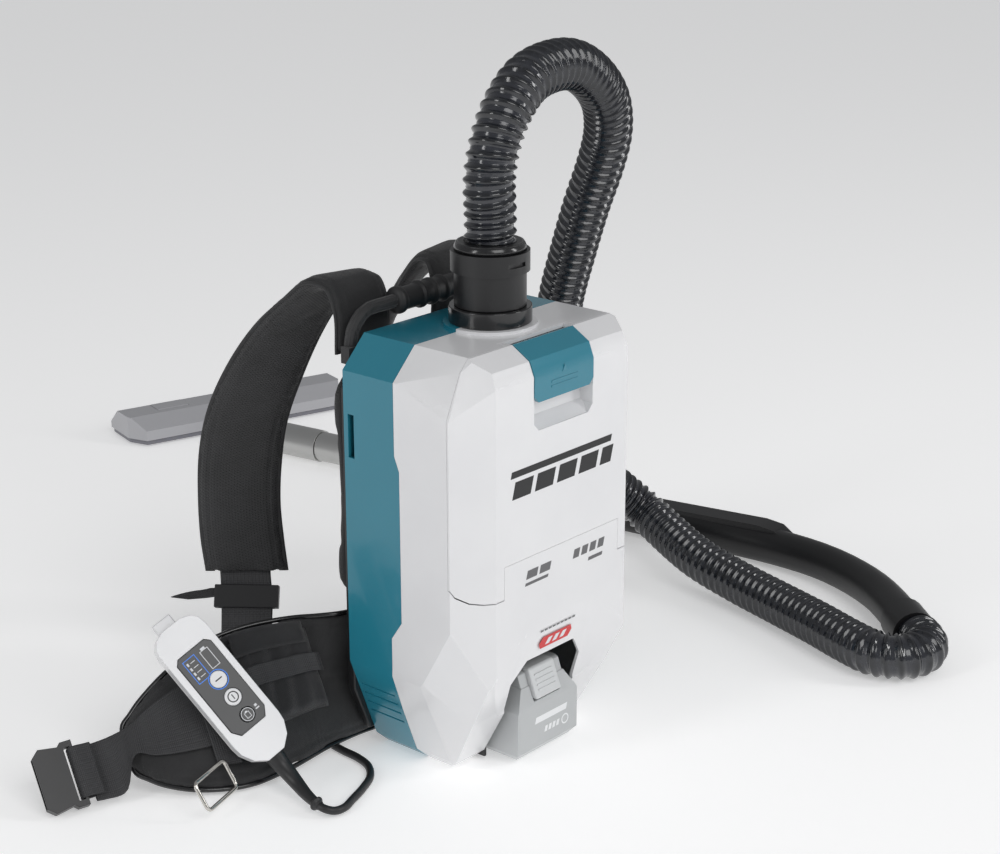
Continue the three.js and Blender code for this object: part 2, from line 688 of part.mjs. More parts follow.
// The wand: handpiece, metal pipe, swivel neck, elbow and floor head, lying on the floor.
const PIPE_AXIS = new THREE.Vector3(75, -513, 0).normalize();
const PIPE_START = new THREE.Vector3(381, 656, 20);

function onPipe(shape, distance) {
  const matrix = new THREE.Matrix4();
  const up = new THREE.Vector3(0, 0, 1);
  const side = new THREE.Vector3().crossVectors(up, PIPE_AXIS);
  matrix.makeBasis(side, up, PIPE_AXIS);
  matrix.setPosition(PIPE_START.clone().addScaledVector(PIPE_AXIS, distance));
  return solid(geometryOf(shape).applyMatrix4(matrix));
}

function ring(outerRadius, innerRadius, z0, z1) {
  const profile = [[innerRadius, z0], [outerRadius, z0], [outerRadius, z1], [innerRadius, z1], [innerRadius, z0]];
  return turned(profile, [0, 0, 0], [0, 0, 1], 28);
}

const NECK_END = 62;
const PIPE_END = 420;
const HAND_ROUTE = [
  [442.3, 236.8, 20],
  [449.4, 188, 20],
  [455, 150, 20],
  [463, 80, 20],
  [469, 14, 20],
  [466, -38, 20],
  [452, -84, 20],
  [431, -123, 20.5],
  [402, -160, 21],
  [368.5, -198, 22],
];

function handpiece() {
  const body = tube(HAND_ROUTE, 18.4, 26, 20);
  const deckSide = [[10, 474], [18.6, 482], [20.6, 560], [22, 622], [19.5, 641], [10, 654]];
  const deck = onPipe(prism("x", deckSide, -12, 12), 0);
  const gripProfile = [[1, 424], [19, 424], [19.6, 432], [19.6, 574], [17.4, 606], [1, 606], [1, 424]];
  const grip = onPipe(turned(gripProfile, [0, 0, 0], [0, 0, 1], 28), 0);
  const slot = onPipe(box(14.6, 30, -2.4, 6.4, 520, 600), 0);
  const key = onPipe(box(-6.4, 6.4, 17, 30, 446, 464), 0);
  const end = new THREE.Vector3(367.2, -202.4, 22);
  const collar = rod(21.3, 36, [391.8, -171.5, 21.5], [-0.66, -0.75, 0.01], 24);
  return body.add(deck).add(grip).add(collar).subtract(slot).subtract(key).subtract(endCut(end));
}

// Everything past the hose end of the handpiece is cut off square.
function endCut(end) {
  const beyond = rod(40, 40, [0, 0, 0.3], [0, 0, 1], 16);
  const turn = new THREE.Matrix4();
  const out = new THREE.Vector3(-0.66, -0.75, 0.01).normalize();
  const side = new THREE.Vector3(0, 0, 1).cross(out).normalize();
  turn.makeBasis(side, new THREE.Vector3().crossVectors(out, side), out);
  turn.setPosition(end.addScaledVector(out, -0.6));
  return solid(geometryOf(beyond).applyMatrix4(turn));
}

function neck() {
  return ring(18.5, 15, 0, NECK_END - GAP).add(ring(18.5, 0.01, 0, 6));
}

add("handpiece", handpiece(), black);
add("suction_slider", onPipe(box(15, 20.8, -2, 6, 524, 552), 0), black);
add("lock_key", onPipe(box(-6, 6, 19.4, 22.5, 446.4, 463.6), 0), black);
add("wand_pipe", onPipe(ring(17, 15.4, NECK_END, PIPE_END), 0), steel);
add("swivel_neck", onPipe(neck(), 0), steel);

const HEAD_ANGLE = THREE.MathUtils.radToDeg(Math.atan2(-0.28, 0.96));
const HEAD_CENTRE = [425, 790, 0];

function onHead(shape) {
  return shape.rotate([0, 0, HEAD_ANGLE]).translate(HEAD_CENTRE);
}

function floorHead() {
  const outline = [[-37, 8], [37, 8], [37, 16], [16, 34], [-18, 34], [-37, 20]];
  const plan = [[-142, -14], [-128, -37], [128, -37], [142, -14], [142, 37], [-142, 37]];
  const body = prism("x", outline, -150, 150).intersect(prism("z", plan, 0, 50));
  const notch = box(-18, 18, -60, -6, 0, 60);
  const pedal = box(-100.4, -59.6, -9.4, 15.4, 28, 60);
  return onHead(body.subtract(notch).subtract(pedal));
}

function headSole() {
  const plan = [[-140, -13], [-127, -35], [127, -35], [140, -13], [140, 35], [-140, 35]];
  const sole = prism("z", plan, 2, 7.7);
  const mouth = box(-100, 100, -5, 9, -5, 20);
  const notch = box(-18, 18, -60, -20, -5, 60);
  return onHead(sole.subtract(mouth).subtract(notch));
}

function elbow() {
  const barrel = onHead(rod(8, 35, [-17.5, -22, 17], [1, 0, 0], 20));
  const arm = tube([[420, 767, 19], [409, 742, 22], [394, 708, 24], [383, 676, 22], [381, 656.6, 20]], 12.5, 10, 14);
  return barrel.add(arm).subtract(endDisc());
}

function endDisc() {
  return onPipe(rod(40, 60, [0, 0, -GAP], [0, 0, 1], 16), 0);
}

add("floor_head", floorHead(), silver);
add("head_sole", headSole(), { color: 0x82828a, roughness: 0.5, metalness: 0.1 });
add("brush_pedal", onHead(box(-100, -60, -8.7, 14.7, 29.1, 35)), silver);
add("head_elbow", elbow(), silver);

export default part;
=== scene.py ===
import math

import bmesh
import bpy
import numpy as np
from mathutils import Matrix, Vector


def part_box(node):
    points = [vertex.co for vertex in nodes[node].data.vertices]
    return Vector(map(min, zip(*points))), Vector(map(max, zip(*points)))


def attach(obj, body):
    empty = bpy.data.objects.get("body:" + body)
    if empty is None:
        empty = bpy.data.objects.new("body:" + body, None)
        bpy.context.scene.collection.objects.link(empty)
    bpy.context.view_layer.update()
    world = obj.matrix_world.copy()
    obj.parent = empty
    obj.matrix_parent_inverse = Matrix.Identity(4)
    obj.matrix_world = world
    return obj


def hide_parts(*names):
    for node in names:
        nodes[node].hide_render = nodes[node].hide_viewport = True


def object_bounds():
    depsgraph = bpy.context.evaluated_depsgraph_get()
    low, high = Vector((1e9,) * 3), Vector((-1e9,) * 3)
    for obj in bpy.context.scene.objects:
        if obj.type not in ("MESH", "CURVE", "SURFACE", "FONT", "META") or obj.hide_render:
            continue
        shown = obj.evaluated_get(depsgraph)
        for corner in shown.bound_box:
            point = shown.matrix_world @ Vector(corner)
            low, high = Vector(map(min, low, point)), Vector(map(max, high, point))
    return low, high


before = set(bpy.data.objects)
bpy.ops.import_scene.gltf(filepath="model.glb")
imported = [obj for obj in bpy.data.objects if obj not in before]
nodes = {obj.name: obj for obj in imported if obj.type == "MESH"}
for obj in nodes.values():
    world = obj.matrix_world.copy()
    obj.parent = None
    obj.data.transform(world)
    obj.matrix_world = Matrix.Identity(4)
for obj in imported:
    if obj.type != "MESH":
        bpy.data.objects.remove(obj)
cad_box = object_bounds()

# ---- Housing shells
# Two deep shells of glossy ABS, teal at the wearer's side and white in front,
# injection moulded and screwed together from inside, with a thin parting line between them.
TEAL = (0.018, 0.205, 0.285)
WHITE = (0.80, 0.80, 0.81)
SHELL_EDGE = 0.0022
GRAIN_FINE = 2600.0
PLASTIC_WEAR = 0.25
WELD_REACH = 0.000005
FLAT_ANGLE = math.radians(0.6)


def link_nodes(tree, pairs):
    """Joins sockets, given as (output, input)."""
    for out, into in pairs:
        tree.links.new(out, into)


def new_group(name, inputs, outputs):
    """An empty shader group with float, colour ('c') or vector ('v') sockets: (tree, its inputs, its outputs)."""
    kinds = {"f": "NodeSocketFloat", "c": "NodeSocketColor", "v": "NodeSocketVector"}
    tree = bpy.data.node_groups.new(name, "ShaderNodeTree")
    for label, kind, value in inputs:
        made = tree.interface.new_socket(label, in_out="INPUT", socket_type=kinds[kind])
        if value is not None:
            made.default_value = value
    for label, kind in outputs:
        tree.interface.new_socket(label, in_out="OUTPUT", socket_type=kinds[kind])
    return tree, tree.nodes.new("NodeGroupInput").outputs, tree.nodes.new("NodeGroupOutput").inputs


def node(tree, kind, links=(), **settings):
    """A new node: settings are its properties, links its (input, value or output socket) pairs."""
    made = tree.nodes.new(kind)
    for key, value in settings.items():
        setattr(made, key, value)
    for key, value in links:
        if isinstance(value, bpy.types.NodeSocket):
            tree.links.new(value, made.inputs[key])
        else:
            made.inputs[key].default_value = value
    return made


def noise(tree, place, scale, detail, distortion=0.0):
    """The value of one Noise node."""
    pairs = [("Vector", place), ("Scale", scale), ("Detail", detail), ("Distortion", distortion)]
    return node(tree, "ShaderNodeTexNoise", pairs).outputs[0]


def object_place(tree):
    return node(tree, "ShaderNodeTexCoord").outputs["Object"]


def calc(tree, operation, a, b=0.0, c=0.0):
    """The output of one Math node."""
    return node(tree, "ShaderNodeMath", [(0, a), (1, b), (2, c)], operation=operation).outputs[0]


def remap(tree, value, low, high, to_low=0.0, to_high=1.0, smooth=False):
    """The output of one Map Range node, clamped."""
    kind = "SMOOTHSTEP" if smooth else "LINEAR"
    pairs = [(0, value), (1, low), (2, high), (3, to_low), (4, to_high)]
    return node(tree, "ShaderNodeMapRange", pairs, interpolation_type=kind).outputs[0]


def mix(tree, factor, a, b, blend="MIX"):
    """The output of one colour Mix node."""
    pairs = [(0, factor), (6, a), (7, b)]
    return node(tree, "ShaderNodeMix", pairs, data_type="RGBA", blend_type=blend).outputs[2]


def rgba(colour):
    return (*colour, 1.0)


def build_skin_group():
    """Moulded plastic skin: spark grain as a height, slow drift of roughness, and faint colour drift."""
    tree, ins, outs = new_group(
        "moulded_skin",
        [("Color", "c", (0.5, 0.5, 0.5, 1)), ("Roughness", "f", 0.3), ("Grain Scale", "f", 2000.0),
         ("Drift", "f", 0.06)],
        [("Color", "c"), ("Roughness", "f"), ("Height", "f")],
    )
    place = object_place(tree)
    grain = noise(tree, place, ins["Grain Scale"], 2.0)
    slow = noise(tree, place, 14.0, 4.0)
    rough = calc(tree, "MULTIPLY_ADD", calc(tree, "SUBTRACT", slow, 0.5), ins["Drift"], ins["Roughness"])
    darker = mix(tree, 1.0, ins["Color"], (0.955, 0.955, 0.96, 1), "MULTIPLY")
    colour = mix(tree, remap(tree, slow, 0.35, 0.7), ins["Color"], darker)
    link_nodes(tree, [(colour, outs["Color"]), (rough, outs["Roughness"]), (grain, outs["Height"])])
    return tree


def build_wear_group():
    """Handling wear: outer edges rub paler and rougher in broken patches."""
    tree, ins, outs = new_group(
        "edge_wear",
        [("Color", "c", (0.5, 0.5, 0.5, 1)), ("Worn Color", "c", (0.7, 0.7, 0.7, 1)), ("Roughness", "f", 0.3),
         ("Reach", "f", 0.0012), ("Amount", "f", 0.5)],
        [("Color", "c"), ("Roughness", "f")],
    )
    rounded = node(tree, "ShaderNodeBevel", [("Radius", ins["Reach"])], samples=3).outputs[0]
    true_normal = node(tree, "ShaderNodeNewGeometry").outputs["True Normal"]
    pair = [(0, rounded), (1, true_normal)]
    dot = node(tree, "ShaderNodeVectorMath", pair, operation="DOT_PRODUCT").outputs["Value"]
    patchy = remap(tree, noise(tree, object_place(tree), 60.0, 5.0), 0.42, 0.62, 0.15)
    mask = calc(tree, "MULTIPLY", calc(tree, "MULTIPLY", remap(tree, dot, 0.995, 0.90), patchy), ins["Amount"])
    colour = mix(tree, mask, ins["Color"], ins["Worn Color"])
    rough = calc(tree, "MULTIPLY_ADD", mask, 0.25, ins["Roughness"])
    link_nodes(tree, [(colour, outs["Color"]), (rough, outs["Roughness"])])
    return tree


SKIN = build_skin_group()
WEAR = build_wear_group()


def use_group(tree, group, links):
    """The outputs of a group placed with its own values."""
    return node(tree, "ShaderNodeGroup", links, node_tree=group).outputs


def new_material(name, **settings):
    """A material with one Principled shader, and its uniform values set on the shader's sockets."""
    material = bpy.data.materials.new(name)
    material.use_nodes = True
    shader = material.node_tree.nodes["Principled BSDF"]
    for key, value in settings.items():
        shader.inputs[key.replace("_", " ").title().replace("Ior", "IOR")].default_value = value
    return material, material.node_tree, shader


def feed_shader(tree, shader, colour, rough, height, distance, strength=1.0):
    """Links the colour, the roughness and a height in metres, through a Bump node, to the shader."""
    bump = node(tree, "ShaderNodeBump", [("Height", height), ("Distance", distance), ("Strength", strength)])
    link_nodes(tree, [(colour, shader.inputs["Base Color"]), (rough, shader.inputs["Roughness"]),
                      (bump.outputs[0], shader.inputs["Normal"])])


def worn_skin(tree, colour, roughness, grain, drift, worn, wear):
    """The outputs of the skin group, and those of the wear group over it."""
    skin = use_group(tree, SKIN, [("Color", rgba(colour)), ("Roughness", roughness),
                                  ("Grain Scale", grain), ("Drift", drift)])
    return skin, use_group(tree, WEAR, [("Color", skin["Color"]), ("Worn Color", rgba(worn)),
                                        ("Roughness", skin["Roughness"]), ("Amount", wear)])


def moulded(name, colour, roughness, grain=GRAIN_FINE, grain_depth=0.00001, drift=0.06, paler=1.25, coat=0.0):
    """Moulded plastic: colour drift, spark grain and edge wear over one Principled shader."""
    material, tree, shader = new_material(name, coat_weight=coat, coat_roughness=0.06)
    worn = tuple(min(1.0, c * paler + 0.02) for c in colour)
    skin, rubbed = worn_skin(tree, colour, roughness, grain, drift, worn, PLASTIC_WEAR)
    feed_shader(tree, shader, rubbed["Color"], rubbed["Roughness"], skin["Height"], grain_depth)
    return material


def finish_node(name, material, edge=0.0, angle=28.0, segments=2):
    """Gives a CAD node its material, and softens its sharp edges by that radius."""
    piece = nodes[name]
    piece.data.materials.clear()
    piece.data.materials.append(material)
    if "custom_normal" in piece.data.attributes:
        piece.data.attributes.remove(piece.data.attributes["custom_normal"])
    piece.data.polygons.foreach_set("use_smooth", [True] * len(piece.data.polygons))
    weld = piece.modifiers.new("weld", "WELD")
    weld.merge_threshold = WELD_REACH
    flat = piece.modifiers.new("merge_flat", "DECIMATE")
    flat.decimate_type = "DISSOLVE"
    flat.angle_limit = FLAT_ANGLE
    if edge:
        bevel = piece.modifiers.new("edge_radius", "BEVEL")
        bevel.width, bevel.segments = edge, segments
        bevel.limit_method, bevel.angle_limit = "ANGLE", math.radians(angle)
        bevel.harden_normals = False
    weighted = piece.modifiers.new("face_normals", "WEIGHTED_NORMAL")
    weighted.keep_sharp = False
    weighted.weight = 80
    return piece


teal_shell = moulded("teal_gloss", TEAL, 0.22, drift=0.05, coat=0.35)
white_shell = moulded("white_gloss", WHITE, 0.25, drift=0.05, paler=1.02, coat=0.3)
for name, material, edge in (("rear_shell", teal_shell, SHELL_EDGE), ("front_shell", white_shell, SHELL_EDGE),
                             ("dust_cover", white_shell, SHELL_EDGE), ("cover_latch", teal_shell, 0.0016)):
    finish_node(name, material, edge)

# ---- Suction port and cuff
# Turned-looking black ABS: a port ring pressed into the top of the housing, a hose cuff in it,
# and a lock ring that turns on the cuff and hooks the hose end by a small slot.
BLACK = (0.010, 0.010, 0.011)
PORT_Y = -0.006
CUFF_LIP = ((0.0262, 0.4215), (0.0290, 0.4208), (0.0288, 0.4236), (0.0276, 0.4262), (0.0262, 0.4274),
            (0.0246, 0.4272), (0.0240, 0.4262), (0.0240, 0.4180))


def put_in_scene(name, data):
    """A new object that shows a mesh, lamp or camera."""
    made = bpy.data.objects.new(name, data)
    bpy.context.scene.collection.objects.link(made)
    return made


def new_piece(name, vertices, faces, material, smooth=True):
    """A mesh object made from lists, in the scene, with one material."""
    mesh = bpy.data.meshes.new(name)
    mesh.from_pydata([tuple(v) for v in vertices], [], faces)
    mesh.materials.append(material)
    mesh.polygons.foreach_set("use_smooth", [smooth] * len(mesh.polygons))
    return put_in_scene(name, mesh)


def ring_faces(rows, count, closed_rows=False):
    """Quads of a grid of rows, each row a closed loop of count points."""
    last = rows if closed_rows else rows - 1
    faces = []
    for i in range(last):
        a, b = i * count, ((i + 1) % rows) * count
        for j in range(count):
            k = (j + 1) % count
            faces.append((a + j, a + k, b + k, b + j))
    return faces


def capped_faces(rows, count):
    """The same quads, with a face over the first loop and one over the last."""
    ends = range(count - 1, -1, -1), range((rows - 1) * count, rows * count)
    return ring_faces(rows, count) + [tuple(end) for end in ends]


def turned_piece(name, profile, centre, material, count=64, axis=(0, 0, 1), closed=False):
    """A turned ring or plug from (radius, distance along the axis) points."""
    turn = Vector(axis).to_track_quat("Z", "Y").to_matrix()
    vertices = []
    for radius, along in profile:
        for j in range(count):
            a = 2 * math.pi * j / count
            vertices.append(Vector(centre) + turn @ Vector((radius * math.cos(a), radius * math.sin(a), along)))
    faces = ring_faces(len(profile), count, True) if closed else capped_faces(len(profile), count)
    return new_piece(name, vertices, faces, material)


def fixed(piece, body):
    """Rides on a body."""
    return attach(piece, body)


black_gloss = moulded("black_gloss", BLACK, 0.20, drift=0.08, paler=2.5, coat=0.3)
black_satin = moulded("black_satin", BLACK, 0.38, grain=1800.0, grain_depth=0.00002, drift=0.1, paler=2.5)
finish_node("port_ring", black_gloss, 0.0009)
finish_node("cuff_sleeve", black_satin, 0.0003)
finish_node("cuff_lock_ring", black_satin, 0.0003)
lip = turned_piece("cuff_lip", CUFF_LIP, (0, PORT_Y, 0), black_gloss, closed=True)
fixed(lip, "housing")

# ---- Suction hose
# Smoky PVC wound as a spiral: a rounded hard rib every 9 mm with a thin web between,
# glossy all over. It is pressed into the cuff on top and into the handpiece at the floor.
HOSE_RADIUS, HOSE_PITCH, RIB_HEIGHT = 0.0211, 0.0089, 0.0032
HOSE_ROUTE = [
    (0, -6, 427.6), (0, -6, 450), (-2, -7, 476), (3, -8, 502), (17, -8, 527), (42, -6, 547), (75, -3, 554),
    (110, 1, 551), (143, 6, 535), (169, 13, 512), (185, 23, 484), (194, 38, 452), (200, 57, 414), (209, 79, 367),
    (220, 102, 315), (240, 124, 254), (273, 142, 190), (320, 152, 128), (364, 149, 85), (385, 129, 60),
    (382, 97, 45), (367, 45, 33), (358, -10, 25), (347, -62, 22), (330, -118, 22), (314, -164, 22),
    (308, -192, 22), (317, -214, 22), (336, -223, 22), (354, -217, 22), (367.2, -202.4, 22),
]


def distances(path):
    """How far along the path each of its points lies."""
    return np.concatenate([[0], np.cumsum(np.linalg.norm(np.diff(path, axis=0), axis=1))])


def unit(rows):
    """Each row scaled to length 1."""
    return rows / np.linalg.norm(rows, axis=1)[:, None]


def sampled(at, along, rows):
    """The rows' values at other distances along them."""
    return np.stack([np.interp(at, along, rows[:, k]) for k in range(3)], -1)


def smooth_route(points, step):
    """Points a step apart along one smooth curve through the given points (millimetres in, metres out)."""
    p = np.array(points, float) / 1000
    p = np.vstack([2 * p[0] - p[1], p, 2 * p[-1] - p[-2]])
    dense = []
    for i in range(1, len(p) - 2):
        p0, p1, p2, p3 = p[i - 1 : i + 3]
        t1, t2, t3 = np.cumsum(np.linalg.norm([p1 - p0, p2 - p1, p3 - p2], axis=1) ** 0.5)
        for t in np.linspace(t1, t2, 40, endpoint=False):
            a1 = (t1 - t) / t1 * p0 + t / t1 * p1
            a2 = (t2 - t) / (t2 - t1) * p1 + (t - t1) / (t2 - t1) * p2
            a3 = (t3 - t) / (t3 - t2) * p2 + (t - t2) / (t3 - t2) * p3
            b1 = (t2 - t) / t2 * a1 + t / t2 * a2
            b2 = (t3 - t) / (t3 - t1) * a2 + (t - t1) / (t3 - t1) * a3
            dense.append((t2 - t) / (t2 - t1) * b1 + (t - t1) / (t2 - t1) * b2)
    dense = np.array(dense + [p[-2]])
    along = distances(dense)
    count = max(2, int(round(along[-1] / step)) + 1)
    return sampled(np.linspace(0, along[-1], count), along, dense), along[-1]


def carried_frames(path):
    """Two cross directions at each point, carried along the path without twist."""
    tangent = unit(np.gradient(path, axis=0))
    side = np.array((1.0, 0.0, 0.0))
    sides = []
    for t in tangent:
        side = side - t * side.dot(t)
        side /= np.linalg.norm(side)
        sides.append(side)
    return np.array(sides), np.cross(tangent, sides)


def spiral_tube(name, route, radius, pitch, rib, material, around=44, per_turn=10):
    """A tube whose rows climb with the spiral, so each rib is a clean crest: the tube, its path and its length."""
    path, length = smooth_route(route, 0.002)
    sides, ups = carried_frames(path)
    stations = np.linspace(0, length, len(path))
    rows = int(length / pitch * per_turn)
    vertices, phase = [], []
    for i in range(-per_turn, rows + 1):
        for j in range(around):
            turn = j / around
            s = min(max((i + turn * per_turn) * pitch / per_turn, 0.0), length)
            centre, side, up = (sampled(s, stations, rows_of) for rows_of in (path, sides, ups))
            local = (i % per_turn) / per_turn
            crest = 0.5 + 0.5 * math.cos(2 * math.pi * local)
            web = math.exp(-(((local - 0.5) / 0.07) ** 2))
            r = radius - rib * (1 - crest ** 1.5) + rib * 0.22 * web
            a = 2 * math.pi * turn
            vertices.append(centre + r * (math.cos(a) * side + math.sin(a) * up))
            phase.append(crest)
    total = rows + 1 + per_turn
    faces = []
    for i in range(total - 1):
        for j in range(around - 1):
            a, b = i * around + j, (i + 1) * around + j
            faces.append((a, a + 1, b + 1, b))
        if i + per_turn + 1 < total:
            a, b = i * around + around - 1, (i + 1) * around + around - 1
            c, d = (i + per_turn) * around, (i + per_turn + 1) * around
            faces.append((a, c, d, b))
    piece = new_piece(name, vertices, faces, material)
    mesh = piece.data
    mesh.attributes.new("crest", "FLOAT", "POINT").data.foreach_set("value", np.array(phase, np.float32))
    shape = bmesh.new()
    shape.from_mesh(mesh)
    bmesh.ops.remove_doubles(shape, verts=shape.verts, dist=0.00005)
    flat = [f for f in shape.faces if f.calc_area() < 1e-10]
    bmesh.ops.delete(shape, geom=flat, context="FACES")
    ends = [e for e in shape.edges if e.is_boundary]
    bmesh.ops.holes_fill(shape, edges=ends, sides=0)
    bmesh.ops.recalc_face_normals(shape, faces=shape.faces)
    shape.to_mesh(mesh)
    shape.free()
    return piece, path, length


def hose_finish():
    """Smoky glossy PVC: darker hard ribs, a paler web between them, dust in the grooves, fine scuffs."""
    material, tree, shader = new_material("smoky_hose", coat_weight=0.5, coat_roughness=0.05)
    crest = node(tree, "ShaderNodeAttribute", attribute_name="crest").outputs["Fac"]
    cloud = noise(tree, object_place(tree), 160.0, 3.0)
    web = mix(tree, crest, (0.020, 0.022, 0.029, 1), (0.005, 0.006, 0.008, 1))
    mottled = mix(tree, remap(tree, cloud, 0.45, 0.7, to_high=0.5), web, (0.034, 0.037, 0.045, 1))
    skin = use_group(tree, SKIN, [("Color", mottled), ("Roughness", 0.17), ("Grain Scale", 420.0), ("Drift", 0.18)])
    feed_shader(tree, shader, skin["Color"], skin["Roughness"], skin["Height"], 0.00025, 0.6)
    return material


hose, hose_path, hose_length = spiral_tube(
    "hose_spiral", HOSE_ROUTE, HOSE_RADIUS, HOSE_PITCH, RIB_HEIGHT, hose_finish())
fixed(hose, "housing")
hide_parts("suction_hose")

# ---- Back plate, carry handle and its grip
# A black plate moulded in polypropylene carries the harness and is screwed to the teal shell.
# The webbing handle above it is threaded through a ribbed rubber sleeve.
GRIP_RADIUS, GRIP_HALF = 0.0113, 0.042
GRIP_Y, GRIP_Z = 0.0600, 0.3750
rubber = moulded("soft_rubber", (0.017, 0.017, 0.018), 0.52, 900.0, 0.00003, drift=0.12, paler=2.2)
finish_node("back_plate", black_satin, 0.0014)


def grip_radius(x):
    """Three raised oval rings in the middle of the sleeve, and a collar at each end."""
    rings = sum(math.exp(-(((x - c) / 0.0022) ** 4)) for c in (-0.013, 0.0, 0.013))
    collar = math.exp(-(((abs(x) - 0.0375) / 0.0030) ** 4))
    ends = max(0.0, (abs(x) - 0.0402) / 0.0018)
    return GRIP_RADIUS - 0.0019 + 0.0019 * min(1.0, rings + collar) - 0.002 * ends ** 2


grip_profile = [(grip_radius(x), x) for x in np.linspace(-GRIP_HALF, GRIP_HALF, 120)]
grip = turned_piece("grip_sleeve", grip_profile, (0, GRIP_Y, GRIP_Z), rubber, count=48, axis=(1, 0, 0))
fixed(grip, "housing")
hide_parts("handle_grip")

# ---- Padded shoulder straps
# Cut from 12 mm foam, faced with plain-weave nylon outside and spacer mesh towards the body,
# bound along both edges with folded tape and stitched, then sewn to the top of the back pad.
STRAP_ROWS = (
    ((-86, 76, 336), (-26, 76, 336)), ((-87, 76, 372), (-27, 76, 372)), ((-88, 88, 394), (-29, 86, 393)),
    ((-90, 112, 396), (-31, 104, 394)), ((-90, 140, 377), (-33, 126, 373)), ((-90, 172, 350), (-36, 148, 341)),
    ((-90, 207, 308), (-40, 170, 296)), ((-90, 234, 262), (-43, 188, 250)), ((-90, 247, 220), (-44, 196, 208)),
    ((-91, 250, 180), (-45, 198, 172)), ((-93, 247, 140), (-46, 194, 138)), ((-95, 240, 112), (-48, 188, 112)),
)
STRAP_PAD = 0.012
NYLON = (0.009, 0.009, 0.010)
TAPE_HALF, TAPE_THICK = 0.0042, 0.0030


def curve_through(rows, step):
    """Two edge lines resampled together along the length: arrays (n, 3) for each edge, in metres."""
    edges = [[row[k] for row in rows] for k in (0, 1)]
    first, second = (smooth_route(edge, 0.001)[0] for edge in edges)
    length = np.linalg.norm(np.diff((first[:: max(1, len(first) // 200)]), axis=0), axis=1).sum()
    count = max(4, int(length / step))
    knots = np.linspace(0, 1, count)

    def at_rows(line, points):
        marks, start = [], 0
        for p in points:
            start += int(np.argmin(np.linalg.norm(line[start:] - np.array(p) / 1000, axis=1)))
            marks.append(start / (len(line) - 1))
        share = np.interp(knots * (len(points) - 1), range(len(points)), marks)
        return sampled(share, np.linspace(0, 1, len(line)), line)

    return at_rows(first, edges[0]), at_rows(second, edges[1])


def row_normals(first, second):
    """The inward normal of the strip at each row."""
    return unit(np.cross(np.gradient((first + second) / 2, axis=0), second - first))


def pad_section(thickness, edge, count=22):
    """Closed section of a stitched pad: (across 0..1, depth) from its outer face round to its inner one."""
    outer, inner = [], []
    for k in range(count):
        u = 0.5 - 0.5 * math.cos(math.pi * k / (count - 1))
        near = min(u, 1 - u) / 0.16
        plump = 1 - (1 - min(near, 1.0)) ** 2.2
        thick = edge + (thickness - edge) * plump
        outer.append((u, thickness * 0.5 - thick * 0.5))
        inner.append((u, thickness * 0.5 + thick * 0.5))
    return outer + inner[::-1]


def pad_from_rows(name, first, second, thickness, edge, material):
    """The smooth closed body of a pad between two edge lines, as a mesh."""
    inward = row_normals(first, second)
    section = pad_section(thickness, edge)
    count, rows = len(section), len(first)
    vertices = []
    for a, b, n in zip(first, second, inward):
        for u, depth in section:
            vertices.append(a + (b - a) * u + n * depth)
    return outward(new_piece(name, vertices, capped_faces(rows, count), material))


def outward(piece):
    """Turns every face outwards."""
    shape = bmesh.new()
    shape.from_mesh(piece.data)
    bmesh.ops.recalc_face_normals(shape, faces=shape.faces)
    shape.to_mesh(piece.data)
    shape.free()
    return piece


def apply_modifier(piece, modifier):
    """Makes the modifier's result the piece's own mesh."""
    for other in bpy.context.selected_objects:
        other.select_set(False)
    piece.select_set(True)
    bpy.context.view_layer.objects.active = piece
    bpy.ops.object.modifier_apply(modifier=modifier.name)


def coordinates(mesh):
    flat = np.zeros(len(mesh.vertices) * 3)
    mesh.vertices.foreach_get("co", flat)
    return flat.reshape(-1, 3)


def set_coordinates(mesh, points):
    mesh.vertices.foreach_set("co", np.asarray(points, np.float64).ravel())
    mesh.update()


CLOTH_PRESSURE, CLOTH_MASS, CLOTH_STRETCH, CLOTH_BEND, CLOTH_QUALITY = 4.0, 0.15, 12, 0.6, 6
CLOTH_FRAMES = 20


def stuff(piece, held, most, voxel=0.005):
    """Remeshes a pad, blows it up as cloth with its held points fixed, and limits how far a point may move."""
    remesh = piece.modifiers.new("voxels", "REMESH")
    remesh.mode, remesh.voxel_size, remesh.use_smooth_shade = "VOXEL", voxel, True
    apply_modifier(piece, remesh)
    rest = coordinates(piece.data)
    pinned = [int(i) for i in np.nonzero(held(rest))[0]]
    pins = piece.vertex_groups.new(name="sewn")
    if pinned:
        pins.add(pinned, 1.0, "REPLACE")
    cloth = piece.modifiers.new("cloth", "CLOTH")
    fabric, contact = cloth.settings, cloth.collision_settings
    fabric.use_pressure, fabric.uniform_pressure_force, fabric.mass = True, CLOTH_PRESSURE, CLOTH_MASS
    fabric.tension_stiffness = fabric.compression_stiffness = CLOTH_STRETCH
    fabric.bending_stiffness, fabric.quality = CLOTH_BEND, CLOTH_QUALITY
    fabric.effector_weights.gravity, fabric.vertex_group_mass = 0.0, "sewn"
    contact.use_collision = contact.use_self_collision = False
    cloth.point_cache.frame_start, cloth.point_cache.frame_end = 1, CLOTH_FRAMES
    for step in range(1, CLOTH_FRAMES + 1):
        bpy.context.scene.frame_set(step)
    apply_modifier(piece, cloth)
    bpy.context.scene.frame_set(1)
    moved = coordinates(piece.data) - rest
    size = np.linalg.norm(moved, axis=1)[:, None]
    moved *= np.minimum(1.0, most / np.maximum(size, 1e-9))
    set_coordinates(piece.data, rest + moved)
    piece.vertex_groups.clear()
    finer = piece.modifiers.new("finer", "SUBSURF")
    finer.levels = finer.render_levels = 1
    apply_modifier(piece, finer)
    piece.data.polygons.foreach_set("use_smooth", [True] * len(piece.data.polygons))


